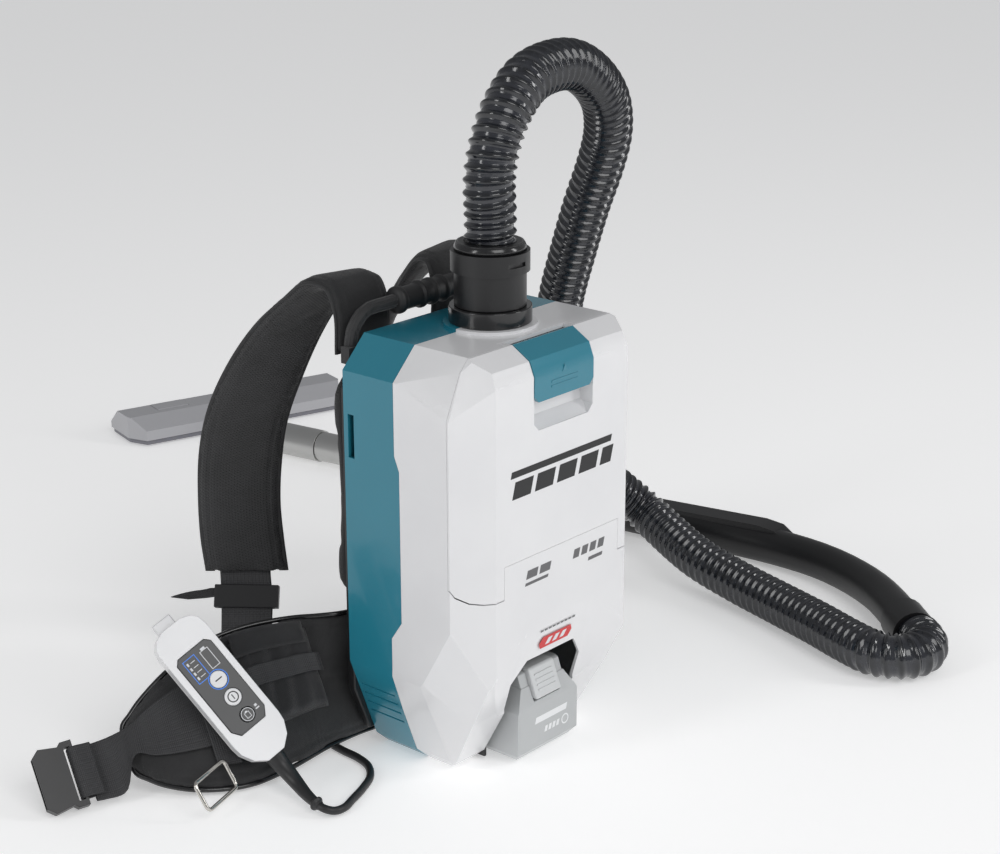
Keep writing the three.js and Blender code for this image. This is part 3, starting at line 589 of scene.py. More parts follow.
def strip_place(points, first, second):
    """For each point: (distance along, share across, depth inwards) on the strip between two edge lines."""
    middle = (first + second) / 2
    inward, along = row_normals(first, second), distances(middle)
    nearest = np.argmin(((points[:, None, :] - middle[None, :, :]) ** 2).sum(2), axis=1)
    across = second - first
    tangent = unit(np.gradient(middle, axis=0))
    offset = points - middle[nearest]
    s = along[nearest] + (offset * tangent[nearest]).sum(1)
    width = (across[nearest] ** 2).sum(1)
    u = ((points - first[nearest]) * across[nearest]).sum(1) / width
    depth = (offset * inward[nearest]).sum(1)
    return s, u, depth


def mean_width(first, second):
    return np.linalg.norm(second - first, axis=1).mean()


def store_place(piece, place):
    """Keeps where each point lies on the cloth, in metres, for the weave: along, across and which face."""
    stored = piece.data.attributes.new("cloth_place", "FLOAT_VECTOR", "POINT").data
    stored.foreach_set("vector", np.array(place, np.float32).ravel())
    return piece


def store_strip_place(piece, first, second):
    s, u, depth = strip_place(coordinates(piece.data), first, second)
    store_place(piece, np.stack([s, u * mean_width(first, second), depth], 1))


def mirrored_copy(piece, name):
    """The same piece on the other side of the middle."""
    mesh = piece.data.copy()
    points = coordinates(mesh)
    points[:, 0] *= -1
    set_coordinates(mesh, points)
    mesh.flip_normals()
    return put_in_scene(name, mesh)


def both_sides(piece, node_name=None):
    """Mirrors a left piece to the right. Both ride on the housing and may stand for their side's CAD node."""
    pair = (piece, mirrored_copy(piece, piece.name.replace("left", "right")))
    for side, one in zip(("left", "right"), pair):
        fixed(one, "housing")
        if node_name:
            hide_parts(node_name + side)
    return pair


def split(tree, vector):
    """A vector's three parts."""
    return node(tree, "ShaderNodeSeparateXYZ", [(0, vector)]).outputs


def build_weave_group():
    """Plain weave: rows of warp and weft threads crossing over and under."""
    tree, ins, outs = new_group("plain_weave", [("Place", "v", (0, 0, 0)), ("Threads", "f", 1400.0)],
                                [("Height", "f"), ("Thread", "f")])
    pair = [(0, ins["Place"]), ("Scale", ins["Threads"])]
    parts = split(tree, node(tree, "ShaderNodeVectorMath", pair, operation="SCALE").outputs[0])
    across, along = (calc(tree, "SINE", calc(tree, "MULTIPLY", parts[k], math.pi)) for k in (0, 1))
    warp, weft = calc(tree, "ABSOLUTE", across), calc(tree, "ABSOLUTE", along)
    side = remap(tree, calc(tree, "MULTIPLY", across, along), -0.25, 0.25)
    height = node(tree, "ShaderNodeMix", [(0, side), (2, warp), (3, weft)], data_type="FLOAT").outputs[0]
    link_nodes(tree, [(height, outs["Height"]), (side, outs["Thread"])])
    return tree


def build_mesh_group():
    """Spacer mesh: staggered rows of small holes in a knitted face."""
    tree, ins, outs = new_group("spacer_mesh", [("Place", "v", (0, 0, 0)), ("Pitch", "f", 0.0026)],
                                [("Height", "f"), ("Hole", "f")])
    parts = split(tree, ins["Place"])
    u = calc(tree, "DIVIDE", parts[0], ins["Pitch"])
    v = calc(tree, "DIVIDE", parts[1], calc(tree, "MULTIPLY", ins["Pitch"], 0.866))
    half_v = calc(tree, "MULTIPLY", v, 0.5)
    plus, minus, rows = (calc(tree, "COSINE", calc(tree, "MULTIPLY", line, 2 * math.pi))
                         for line in (calc(tree, "ADD", u, half_v), calc(tree, "SUBTRACT", u, half_v), v))
    hole = remap(tree, calc(tree, "ADD", calc(tree, "ADD", plus, minus), rows), 0.4, 2.2, smooth=True)
    link_nodes(tree, [(calc(tree, "SUBTRACT", 1.0, hole), outs["Height"]), (hole, outs["Hole"])])
    return tree


def build_cloth_wear_group():
    """Fabric seen up close: faded patches, lint and a little dust, as colour."""
    tree, ins, outs = new_group("cloth_fade", [("Color", "c", (0.02, 0.02, 0.02, 1)), ("Fade", "f", 0.4)],
                                [("Color", "c"), ("Patch", "f")])
    place = object_place(tree)
    patch = noise(tree, place, 26.0, 6.0)
    faded = calc(tree, "MULTIPLY", remap(tree, patch, 0.4, 0.7), ins["Fade"])
    lifted = mix(tree, faded, ins["Color"], (0.055, 0.055, 0.058, 1))
    speck = calc(tree, "MULTIPLY", remap(tree, noise(tree, place, 900.0, 1.0), 0.72, 0.8), 0.25)
    link_nodes(tree, [(mix(tree, speck, lifted, (0.14, 0.14, 0.14, 1)), outs["Color"]), (patch, outs["Patch"])])
    return tree


WEAVE, SPACER, FADE = build_weave_group(), build_mesh_group(), build_cloth_wear_group()


def shades(tree, factor, colour, dark, bright):
    """The colour between two multiples of itself."""
    return mix(tree, factor, rgba(tuple(c * dark for c in colour)), rgba(tuple(c * bright for c in colour)))


def cloth_finish(name, colour, threads=1300.0, mesh_face=False, sheen=0.15, roughness=0.62, depth=0.00018,
                 place_name="cloth_place"):
    """Black nylon, its colour darkened between the threads and lightened on their crowns as painted shade and
    painted highlight of the weave; where mesh_face is set, the inner face is spacer mesh instead, its holes painted
    near black as painted shade.
    """
    material, tree, shader = new_material(name, roughness=roughness, sheen_weight=sheen, sheen_roughness=0.45)
    place = node(tree, "ShaderNodeAttribute", attribute_name=place_name).outputs["Vector"]
    height = use_group(tree, WEAVE, [("Place", place), ("Threads", threads)])["Height"]
    # Painted shade and painted highlight: the colour runs from 0.45 of itself between the threads to 1.35 of itself
    # on their crowns.
    shade = shades(tree, height, colour, 0.45, 1.35)
    if mesh_face:
        spacer = use_group(tree, SPACER, [("Place", place)])
        # Painted shade: the holes of the spacer mesh are painted near black.
        knit_with_painted_hole_shade = mix(tree, spacer["Hole"], (0.020, 0.020, 0.021, 1), (0.0025, 0.0025, 0.003, 1))
        inner = remap(tree, split(tree, place)[2], 0.0055, 0.0065)
        shade = mix(tree, inner, shade, knit_with_painted_hole_shade)
        heights = [(0, inner), (2, height), (3, calc(tree, "MULTIPLY", spacer["Height"], 2.4))]
        height = node(tree, "ShaderNodeMix", heights, data_type="FLOAT").outputs[0]
    faded = use_group(tree, FADE, [("Color", shade), ("Fade", 0.35)])
    total = calc(tree, "MULTIPLY_ADD", noise(tree, object_place(tree), 70.0, 3.0), 3.0, height)
    rough = remap(tree, faded["Patch"], 0.3, 0.7, roughness - 0.07, roughness + 0.1)
    feed_shader(tree, shader, faded["Color"], rough, total, depth)
    return material


def seam_push(piece, amount, where):
    """Draws the cloth in along a sewn line: where(points) gives 0 to 1."""
    points = coordinates(piece.data)
    normals = np.zeros(len(points) * 3)
    piece.data.vertices.foreach_get("normal", normals)
    set_coordinates(piece.data, points - normals.reshape(-1, 3) * (amount * where(points))[:, None])


def squarish(angle, power, power_up):
    """The cosine and sine of an angle, each to its power with its sign kept: a circle pressed towards a square."""
    return [math.copysign(abs(v) ** p, v) for v, p in ((math.cos(angle), power), (math.sin(angle), power_up))]


def binding_tape(name, line, side, inward):
    """A folded tape sewn round an edge: a flat oval tube that follows the edge line."""
    count = 14
    vertices = []
    for p, s, n in zip(line, side, inward):
        for k in range(count):
            flat, high = squarish(2 * math.pi * k / count, 0.7, 0.8)
            vertices.append(p + s * TAPE_HALF * (flat + 0.75) + n * (STRAP_PAD + high * TAPE_THICK) / 2)
    piece = outward(new_piece(name, vertices, capped_faces(len(line), count), tape_cloth))
    return store_place(piece, [(s, 2 * TAPE_HALF * k / count, 0) for s in distances(line) for k in range(count)])


strap_cloth = cloth_finish("strap_nylon", NYLON, mesh_face=True)
tape_cloth = cloth_finish("binding_tape", (0.017, 0.017, 0.018), threads=900.0, sheen=0.1, depth=0.00012)
strap_left, strap_right = curve_through(STRAP_ROWS, 0.004)
strap_in = row_normals(strap_left, strap_right)
pad = pad_from_rows("strap_pad_left", strap_left, strap_right, STRAP_PAD, 0.0035, strap_cloth)


def strap_held(points):
    _, u, _ = strip_place(points, strap_left, strap_right)
    return (u < 0.07) | (u > 0.93) | (points[:, 2] < 0.118) | ((points[:, 2] < 0.345) & (points[:, 1] < 0.09))


stuff(pad, strap_held, most=0.0035)


def strap_seams(points):
    _, u, _ = strip_place(points, strap_left, strap_right)
    return np.exp(-(((u - 0.13) / 0.018) ** 2)) + np.exp(-(((u - 0.87) / 0.018) ** 2))


seam_push(pad, 0.0009, strap_seams)
store_strip_place(pad, strap_left, strap_right)
across = unit(strap_right - strap_left)
tapes = [binding_tape("strap_binding_outer_left", strap_left, across, strap_in),
         binding_tape("strap_binding_inner_left", strap_right, -across, strap_in)]
for strap_pad in both_sides(pad, "shoulder_strap_"):
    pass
for tape in tapes:
    both_sides(tape)

# ---- Strap webbing and adjusters
# Ribbed polypropylene webbing 45 mm wide is sewn under each pad, runs through a moulded
# three-bar adjuster and is sewn to the belt; its loose end stands out behind the adjuster.
WEBBING_ROWS = (((-87, 233, 124), (-58, 198, 124)), ((-90, 229, 111), (-61, 196, 111)),
                ((-96, 222, 92), (-68, 187, 92)),
                ((-106, 212, 72), (-78, 178, 72)), ((-116, 203, 54), (-88, 170, 54)))
TAIL_ROWS = (((-100, 231, 99), (-76, 203, 99)), ((-108, 240, 96), (-88, 214, 95)),
             ((-122, 249, 94), (-103, 226, 92)), ((-128, 252, 93), (-118, 240, 91)))
WEBBING_COLOUR = (0.024, 0.024, 0.026)


def webbing_piece(name, first, second, thickness, material, ribs=14, rib=0.00028, flip=1):
    """Flat woven webbing with raised ribs running along it and rounded selvedges."""
    inward, width = row_normals(first, second) * flip, mean_width(first, second)
    section = []
    for u in np.linspace(0, 1, ribs * 4 + 1):
        edge = min(1.0, min(u, 1 - u) * width / (thickness * 0.7))
        selvedge = thickness / 2 * (1 - math.sqrt(max(0.0, 1 - (1 - edge) ** 2)))
        section.append((u, selvedge + rib * 0.5 * (1 + math.cos(2 * math.pi * u * ribs))))
    ring = section + [(u, thickness - d) for u, d in section[::-1]]
    vertices, place = [], []
    for a, b, n, s in zip(first, second, inward, distances((first + second) / 2)):
        for u, d in ring:
            vertices.append(a + (b - a) * u + n * d)
            place.append((s, u * width, d))
    piece = new_piece(name, vertices, capped_faces(len(first), len(ring)), material)
    return store_place(outward(piece), place)


def webbing_finish(name, colour):
    """Ribbed webbing: fine slanting weft between the ribs, duller in the grooves, its colour darkened in the grooves
    and lightened on the raised threads as painted shade and painted highlight.
    """
    material, tree, shader = new_material(name, roughness=0.6, sheen_weight=0.12, sheen_roughness=0.4)
    place = node(tree, "ShaderNodeAttribute", attribute_name="cloth_place").outputs["Vector"]
    weave = use_group(tree, WEAVE, [("Place", place), ("Threads", 620.0)])
    rows = calc(tree, "ABSOLUTE", calc(tree, "SINE", calc(tree, "MULTIPLY", split(tree, place)[0], 2200.0)))
    height = calc(tree, "MULTIPLY_ADD", rows, 0.6, weave["Height"])
    # Painted shade and painted highlight: the colour runs from 0.4 of itself in the grooves to 1.6 of itself on the
    # raised threads.
    shade = shades(tree, remap(tree, height, 0.2, 1.4), colour, 0.4, 1.6)
    faded = use_group(tree, FADE, [("Color", shade), ("Fade", 0.3)])
    feed_shader(tree, shader, faded["Color"], remap(tree, height, 0.2, 1.4, 0.72, 0.5), height, 0.0002)
    return material


webbing = webbing_finish("ribbed_webbing", WEBBING_COLOUR)
for name, rows, node_name in (("webbing_left", WEBBING_ROWS, "strap_webbing_"),
                              ("webbing_tail_left", TAIL_ROWS, None)):
    piece = webbing_piece(name, *curve_through(rows, 0.003), 0.0022, webbing)
    both_sides(piece, node_name)
for side in ("left", "right"):
    finish_node("strap_adjuster_" + side, black_satin, 0.0008)

# ---- Hip belt
# Two padded wings of foam between nylon, piped along the edge, sewn to the back plate.
# Each carries ribbed webbing to the buckle; the left one has a nylon pocket and a loop with a steel ring.
WING_ROWS = (
    ((-61, 60, 6), (-61, 64, 114)), ((-92, 60, 10), (-95, 80, 114)), ((-127, 60, 12.5), (-126, 110, 113)),
    ((-168, 62, 9.5), (-158, 130, 110)), ((-208, 69, 8.5), (-188, 144, 102)), ((-241, 91, 10), (-217, 155, 85)),
    ((-261, 115, 15), (-242, 160, 67)), ((-273, 136, 25), (-261, 160, 51)),
)
WING_PAD = 0.013
PIPE_RADIUS = 0.0021


def wing_point(row, share, lift):
    """A point on the wing in millimetres, at a share of its height, lifted off its face by metres."""
    i = min(int(math.floor(row)), len(WING_ROWS) - 2)
    low = [np.array(WING_ROWS[i + k][0], float) for k in (0, 1)]
    high = [np.array(WING_ROWS[i + k][1], float) for k in (0, 1)]
    t = row - i
    bottom, top = low[0] * (1 - t) + low[1] * t, high[0] * (1 - t) + high[1] * t
    out = np.cross(top - bottom, low[1] - low[0])
    return bottom * (1 - share) + top * share + out / np.linalg.norm(out) * lift * 1000


def wing_rows(first_row, last_row, low, high, lift, count):
    """Rows across the wing for a piece that lies on it."""
    return [(wing_point(s, low, lift), wing_point(s, high, lift)) for s in np.linspace(first_row, last_row, count)]


wing_low, wing_high = curve_through(WING_ROWS, 0.005)
wing_in = row_normals(wing_low, wing_high)
wing_cloth = cloth_finish("belt_nylon", NYLON, threads=1100.0, sheen=0.2, roughness=0.55, depth=0.00022)
pocket_cloth = cloth_finish("pocket_nylon", (0.014, 0.014, 0.016), threads=1500.0, sheen=0.25,
                            roughness=0.42, depth=0.0003)
wing = pad_from_rows("belt_pad_left", wing_low, wing_high, WING_PAD, 0.0045, wing_cloth)


def wing_held(points):
    s, u, _ = strip_place(points, wing_low, wing_high)
    return (u < 0.05) | (u > 0.95) | (s < 0.012) | (s > s.max() - 0.012)


stuff(wing, wing_held, most=0.003)


def wing_seams(points):
    s, u, _ = strip_place(points, wing_low, wing_high)
    rim = np.minimum(np.minimum(u, 1 - u) * mean_width(wing_low, wing_high), s.max() - s)
    return np.exp(-(((rim - 0.008) / 0.0016) ** 2)) + 0.8 * np.exp(-(((u - 0.5) / 0.02) ** 2))


seam_push(wing, 0.0010, wing_seams)
store_strip_place(wing, wing_low, wing_high)
rim_line = np.vstack([wing_low[2:], wing_low[-1] * 0.5 + wing_high[-1] * 0.5, wing_high[2:][::-1]])
rim_line = rim_line + np.vstack([wing_in[2:], wing_in[-1], wing_in[2:][::-1]]) * WING_PAD / 2
rim_line, _ = smooth_route(rim_line[::3] * 1000, 0.003)


def round_cord(name, path, radius, material, count=12, radius_at=None):
    """A solid round strand along a path; radius_at(share) may taper it. Its cloth_place runs along and round."""
    vertices, place = [], []
    along = distances(path)
    for i, (p, s, u) in enumerate(zip(path, *carried_frames(path))):
        r = radius * (radius_at(i / (len(path) - 1)) if radius_at else 1.0)
        for k in range(count):
            a = 2 * math.pi * k / count
            vertices.append(p + r * (math.cos(a) * s + math.sin(a) * u))
            place.append((along[i], r * a, 0))
    return store_place(outward(new_piece(name, vertices, capped_faces(len(path), count), material)), place)


piping = round_cord("belt_piping_left", rim_line, PIPE_RADIUS, black_gloss)
BELT_END = [((-285, 128, 12), (-276, 158, 47)), ((-298, 138, 7), (-290, 166, 43)), ((-304, 141, 7), (-297, 169, 42))]
belt_rows = wing_rows(3.6, 6.7, 0.3, 0.82, 0.0048, 5) + BELT_END
belt_web = webbing_piece("belt_webbing_piece_left", *curve_through(belt_rows, 0.004), 0.0024, webbing, ribs=18)
for belt_pad in both_sides(wing, "belt_wing_"):
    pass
both_sides(piping)
both_sides(belt_web, "belt_webbing_")

# ---- Pocket, webbing loop, ring and buckle on the belt
# The pocket is a folded nylon pouch bound at its mouth and boxed with stitching; the loop is doubled
# webbing sewn at both ends, and holds a rectangular ring bent from 3 mm nickel-plated wire.
POUCH_ROUND, POUCH_WIDE, POUCH_HIGH = 0.14, 0.085, 0.065
WIRE_RADIUS, WIRE_SIDES = 0.0017, 14
BRUSHED = (60.0, 60.0, 900.0)
RING_CENTRE = (-0.243, 0.069, 0.021)
RING_HALF_LONG, RING_HALF_SHORT, RING_CORNER = 0.0222, 0.0122, 0.0045


def fold_wrinkle(u, v):
    """Soft folds that run across a loose nylon pouch."""
    broad = 0.0011 * math.sin(9.0 * v + 2.2 * u) * math.sin(math.pi * min(max(v, 0), 1))
    return broad + 0.0008 * math.sin(23 * u + 6 * v)


def pouch(name, first_row, last_row, low, high, thickness, material, across=40, up=34):
    """A pouch on the wing: its front face bulges and wrinkles, and its rim lies on the pad."""
    grid, back, place = [], [], []
    for i in range(across + 1):
        for j in range(up + 1):
            u, v = i / across, j / up
            rim = min(min(u, 1 - u) / POUCH_ROUND, min(v, 1 - v) / POUCH_ROUND, 1.0)
            rise = (1 - (1 - rim) ** 2.5)
            at = (first_row + (last_row - first_row) * u, low + (high - low) * v)
            grid.append(wing_point(*at, 0.0012 + (thickness + fold_wrinkle(u, v)) * rise) / 1000)
            back.append(wing_point(*at, 0.0008) / 1000)
            place.append((u * POUCH_WIDE, v * POUCH_HIGH, 0.0))
    count = (across + 1) * (up + 1)
    faces = []
    for i in range(across):
        for j in range(up):
            a = i * (up + 1) + j
            faces.append((a, a + 1, a + up + 2, a + up + 1))
            faces.append((count + a, count + a + up + 1, count + a + up + 2, count + a + 1))
    loop = list(range(up + 1)) + [i * (up + 1) + up for i in range(1, across + 1)]
    loop += [across * (up + 1) + j for j in range(up - 1, -1, -1)]
    loop += [i * (up + 1) for i in range(across - 1, 0, -1)]
    for a, b in zip(loop, loop[1:] + loop[:1]):
        faces.append((a, b, count + b, count + a))
    return store_place(outward(new_piece(name, grid + back, faces, material)), place + place)


pocket = pouch("belt_pouch", 1.7, 3.4, 0.3, 0.92, 0.0072, pocket_cloth)
fixed(pocket, "housing")
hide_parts("belt_pocket")
band_edges = curve_through(wing_rows(1.72, 3.38, 0.58, 0.72, 0.0105, 6), 0.004)
fixed(webbing_piece("pouch_band", *band_edges, 0.0012, webbing, ribs=6, rib=0.0002), "housing")
flap_edges = curve_through(wing_rows(1.9, 3.5, 0.80, 0.97, 0.0112, 6), 0.004)
fixed(webbing_piece("pouch_flap", *flap_edges, 0.0016, pocket_cloth, ribs=1, rib=0.0001), "housing")
loop_edges = [np.array([wing_point(row, v, 0.0074) for v in np.linspace(0.14, 0.9, 24)]) / 1000
              for row in (4.53, 4.02)]
loop_web = webbing_piece("loop_webbing", *loop_edges, 0.0023, webbing, ribs=10)
fixed(loop_web, "housing")
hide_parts("belt_loop")


def metal_finish(name, colour, roughness):
    """Plated or anodised metal: fine drawn lines in roughness and height, a few rubbed spots."""
    material, tree, shader = new_material(name, metallic=1.0)
    drawn = node(tree, "ShaderNodeMapping", [("Vector", object_place(tree)), ("Scale", BRUSHED)]).outputs[0]
    lines = noise(tree, drawn, 6.0, 4.0)
    _, rubbed = worn_skin(tree, colour, roughness, 900.0, 0.15, (0.75, 0.75, 0.74), 0.3)
    rough = calc(tree, "MULTIPLY_ADD", calc(tree, "SUBTRACT", lines, 0.5), 0.25, rubbed["Roughness"])
    feed_shader(tree, shader, rubbed["Color"], rough, lines, 0.00003)
    return material


nickel = metal_finish("nickel_plate", (0.62, 0.60, 0.56), 0.16)
turn = Matrix.Rotation(math.radians(18), 3, "Z") @ Matrix.Rotation(math.radians(-30), 3, "X")
wire = []
for quarter, (sx, sz) in enumerate(((1, 1), (-1, 1), (-1, -1), (1, -1))):
    for k in range(7):
        a = math.pi / 2 * (quarter + k / 6)
        wire.append(Vector(RING_CENTRE) + turn @ Vector((
            sx * (RING_HALF_LONG - RING_CORNER) + RING_CORNER * math.cos(a), 0,
            sz * (RING_HALF_SHORT - RING_CORNER) + RING_CORNER * math.sin(a))))
vertices = []
normal = turn @ Vector((0, 1, 0))
for i, p in enumerate(wire):
    sideways = (wire[(i + 1) % len(wire)] - wire[i - 1]).normalized().cross(normal)
    for k in range(WIRE_SIDES):
        a = 2 * math.pi * k / WIRE_SIDES
        vertices.append(p + WIRE_RADIUS * (math.cos(a) * normal + math.sin(a) * sideways))
ring = outward(new_piece("wire_ring", vertices, ring_faces(len(wire), WIRE_SIDES, closed_rows=True), nickel))
fixed(ring, "ring")
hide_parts("belt_ring")
for name in ("buckle_male", "buckle_female"):
    finish_node(name, black_satin, 0.0013, segments=3)
BUCKLE_PLACE = Vector((-0.306, 0.1585, 0.0265))
BUCKLE_ACROSS = Vector((7, 27, 35)).normalized()
BUCKLE_OUT = Vector((-30, 14, -1))
BUCKLE_OUT = (BUCKLE_OUT - BUCKLE_ACROSS * BUCKLE_OUT.dot(BUCKLE_ACROSS)).normalized()
BUCKLE_NORMAL = BUCKLE_OUT.cross(BUCKLE_ACROSS)
# The webbing folds round the frame's outer bar: [out, normal] in millimetres.
FOLD = ((-16, 6.9), (-9, 7.2), (-3, 7.6), (0.6, 7.8), (3.2, 6.8), (4.9, 4.0), (5.1, 0), (4.9, -4.0),
        (3.2, -6.8), (0.6, -7.6), (-3, -7.2), (-9, -4.6), (-14, -3.4))
FOLD_HALF = 21
fold_rows = []
for out, up in FOLD:
    at = BUCKLE_PLACE * 1000 + BUCKLE_OUT * out + BUCKLE_NORMAL * up
    fold_rows.append([tuple(at + BUCKLE_ACROSS * side) for side in (-FOLD_HALF, FOLD_HALF)])
fold = webbing_piece("webbing_fold_left", *curve_through(fold_rows, 0.0012), 0.0018, webbing, ribs=16, flip=-1)
both_sides(fold)

# ---- Back pads
# Foam blocks under spacer mesh on the wearer's side, sewn round their edge and channelled across.
pad_cloth = cloth_finish("pad_mesh", NYLON, mesh_face=True)


def block_pad(name, node_name, channels):
    """A pad filling a CAD pad's box: rounded plan corners, crowned face towards the wearer, sewn channels."""
    low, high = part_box(node_name)
    cx, cz = (low.x + high.x) / 2, (low.z + high.z) / 2
    hx, hz, depth = (high.x - low.x) / 2 - 0.002, (high.z - low.z) / 2 - 0.002, high.y - low.y
    layers, around = 9, 104
    vertices = []
    for a in np.linspace(0, math.pi, layers):
        y = low.y + depth / 2 - (depth / 2 - 0.0012) * math.cos(a)
        pull = 0.004 * (1 - max(0.0, math.sin(a)) ** 0.6)
        for k in range(around):
            x, z = squarish(2 * math.pi * k / around, 0.28, 0.28)
            vertices.append((cx + x * (hx - pull), y, cz + z * (hz - pull)))
    piece = outward(new_piece(name, vertices, capped_faces(layers, around), pad_cloth))
    stuff(piece, lambda p: p[:, 1] < low.y + 0.003, most=0.0045)

    def sewn(p):
        front = np.clip((p[:, 1] - (low.y + depth * 0.5)) / (depth * 0.3), 0, 1)
        lines = sum(np.exp(-(((p[:, 2] - (cz + c * hz)) / 0.0045) ** 2)) for c in channels)
        return front * lines

    seam_push(piece, 0.0042, sewn)
    points = coordinates(piece.data)
    inner = np.clip((points[:, 1] - low.y) / depth, 0, 1) * STRAP_PAD
    store_place(piece, np.stack([points[:, 0], points[:, 2], inner], 1))
    fixed(piece, "housing")
    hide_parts(node_name)


block_pad("back_cushion", "back_pad", (-0.45, 0.0, 0.45))
block_pad("lumbar_cushion", "lumbar_pad", (0.0,))
finish_node("carry_handle", cloth_finish("handle_webbing", (0.02, 0.02, 0.021), place_name="position"), 0.0006)

# ---- Wired remote
# Two white ABS half shells screwed from behind, a dark printed panel let into the front,
# three round keys through it, a clear hook at the back and a tapered rubber boot for the cable.
REMOTE_CENTRE = Vector((-0.208, 0.099, 0.081))
REMOTE_DOWN = Vector((0.232, -0.64, -0.733)).normalized()
REMOTE_OUT = Vector((-0.43, -0.7, 0.56))
REMOTE_OUT = (REMOTE_OUT - REMOTE_DOWN * REMOTE_OUT.dot(REMOTE_DOWN)).normalized()
REMOTE_ACROSS = -REMOTE_DOWN.cross(REMOTE_OUT)
PANEL_TOP = 0.0119
PRINT_BLUE, PRINT_WHITE = (0.03, 0.22, 0.85), (0.75, 0.76, 0.78)


def on_remote(x, y, z):
    """A point in the remote's own frame (metres): across, up along it, out of its panel."""
    return REMOTE_CENTRE + REMOTE_ACROSS * x - REMOTE_DOWN * y + REMOTE_OUT * z


def printed(name, outlines, height, thickness, material, body="housing", place=on_remote):
    """A thin raised print from closed outlines, in millimetres, in the frame of the face that place gives."""
    vertices, faces = [], []
    for outline in outlines:
        start, count = len(vertices), len(outline)
        vertices += [place(x / 1000, y / 1000, height) for x, y in outline]
        vertices += [place(x / 1000, y / 1000, height + thickness) for x, y in outline]
        faces.append(tuple(start + k for k in range(count))[::-1])
        faces.append(tuple(start + count + k for k in range(count)))
        for k in range(count):
            n = (k + 1) % count
            faces.append((start + k, start + n, start + count + n, start + count + k))
    return fixed(outward(new_piece(name, vertices, faces, material, smooth=False)), body)


def bar(x0, y0, x1, y1):
    return [(x0, y0), (x1, y0), (x1, y1), (x0, y1)]


def frame_outline(x0, y0, x1, y1, w):
    """Four bars of a rectangular outline."""
    return [bar(x0, y0, x1, y0 + w), bar(x0, y1 - w, x1, y1),
            bar(x0, y0 + w, x0 + w, y1 - w), bar(x1 - w, y0 + w, x1, y1 - w)]


def ring_outline(cx, cy, outer, inner, count=32):
    """Short quads that make a flat ring."""
    quads = []
    for k in range(count):
        a, b = (2 * math.pi * (k + d) / count for d in (0, 1))
        corners = ((outer, a), (outer, b), (inner, b), (inner, a))
        quads.append([(cx + r * math.cos(t), cy + r * math.sin(t)) for r, t in corners])
    return quads


panel_dark = moulded("panel_dark", (0.010, 0.011, 0.013), 0.33, drift=0.08, paler=2.0, coat=0.2)
ink_white = moulded("ink_white", PRINT_WHITE, 0.4, drift=0.05, paler=1.0)
ink_blue = moulded("ink_blue", PRINT_BLUE, 0.35, drift=0.05, paler=1.2)
ink_black = moulded("ink_black", (0.008, 0.008, 0.009), 0.4, drift=0.05, paler=2.0)
key_white = moulded("key_white", (0.82, 0.82, 0.83), 0.3, drift=0.05, paler=1.0)
for name in ("remote_front", "remote_rear"):
    finish_node(name, white_shell, 0.0032, angle=35.0, segments=4)
finish_node("remote_panel", panel_dark, 0.0003)
finish_node("remote_hook", white_shell, 0.0012)
for name in ("mode_key", "power_key", "check_key"):
    finish_node(name, panel_dark if name == "check_key" else key_white, 0.0008, angle=40.0)
INK, KEY_TOP = 0.00012, 0.0128
LIGHT_ROWS = (17, 21.5, 26, 30.5)
mode_box = frame_outline(-12.5, 14, -0.5, 36, 0.7) + ring_outline(2, 8, 8.3, 7.45)
printed("panel_blue_box", mode_box, PANEL_TOP, INK, ink_blue)
battery_sign = frame_outline(3.5, 17, 11.5, 34, 0.6) + [bar(5.5, 34, 9.5, 36)]
printed("panel_battery_mark", battery_sign, PANEL_TOP, INK, ink_white)
lights = [bar(-10.6, y, -9.0, y + 2.6) for y in LIGHT_ROWS]
lights += [bar(-7.6, y + 0.9, -3.0, y + 1.5) for y in LIGHT_ROWS]
lights += [bar(10, -29.5, 13.5, -28.3), bar(10.6, -27.2, 12.9, -25.2)]
printed("panel_light_marks", lights, PANEL_TOP, INK, ink_white)
power_sign = ring_outline(2, -10, 4.6, 3.7) + [bar(1.6, -12.2, 2.4, -7.8)]
printed("power_mark", power_sign, KEY_TOP, INK, ink_black, "power_button")
printed("mode_mark", [bar(-1.2, 7.6, 5.2, 8.6)], KEY_TOP, INK, ink_black, "mode_button")
check_sign = ring_outline(2, -28, 5.4, 4.9) + frame_outline(-0.2, -31, 4.2, -26, 0.5) + [bar(1, -26, 3, -25)]
printed("check_mark", check_sign, KEY_TOP, INK, ink_white, "check_button")
grips = [bar(x - 0.9, 3.4 - 9 * k, x + 0.9, 8.6 - 9 * k) for x in (-22.2, 22.2) for k in range(6)]
ribs = printed("remote_grip_ribs", grips, 0.0035, 0.0064, white_shell)
rounding = ribs.modifiers.new("edge_radius", "BEVEL")
rounding.width, rounding.segments = 0.0008, 2

# ---- Cable of the remote
# A round black rubber cable with its moulded boot at the remote. It loops over the floor
# and goes into a gland in the back of the housing.
CABLE_RADIUS = 0.0033
CABLE_ROUTE = [
    (-50, 69.3, 18), (-50, 77, 18), (-51, 88, 14), (-59, 99, 7.5), (-73, 105, 4.2), (-89, 105, 3.6), (-102, 95, 3.6),
    (-109, 79, 3.6), (-112, 60, 3.6), (-113, 42, 3.6), (-118, 25, 3.6), (-130, 11, 3.6), (-147, 2, 3.6),
    (-166, -5, 3.6), (-181, -10, 3.8), (-191, -9, 5), (-196, -3, 7), (-196.2, 5.4, 8.6),
]
cable_rubber = moulded("cable_rubber", (0.016, 0.016, 0.017), 0.42, 500.0, 0.00004, drift=0.12, paler=2.0)
cable_path, cable_length = smooth_route(CABLE_ROUTE, 0.0025)
cable = round_cord("remote_cable_strand", cable_path, CABLE_RADIUS, cable_rubber, count=20)
fixed(cable, "housing")
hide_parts("remote_cable")
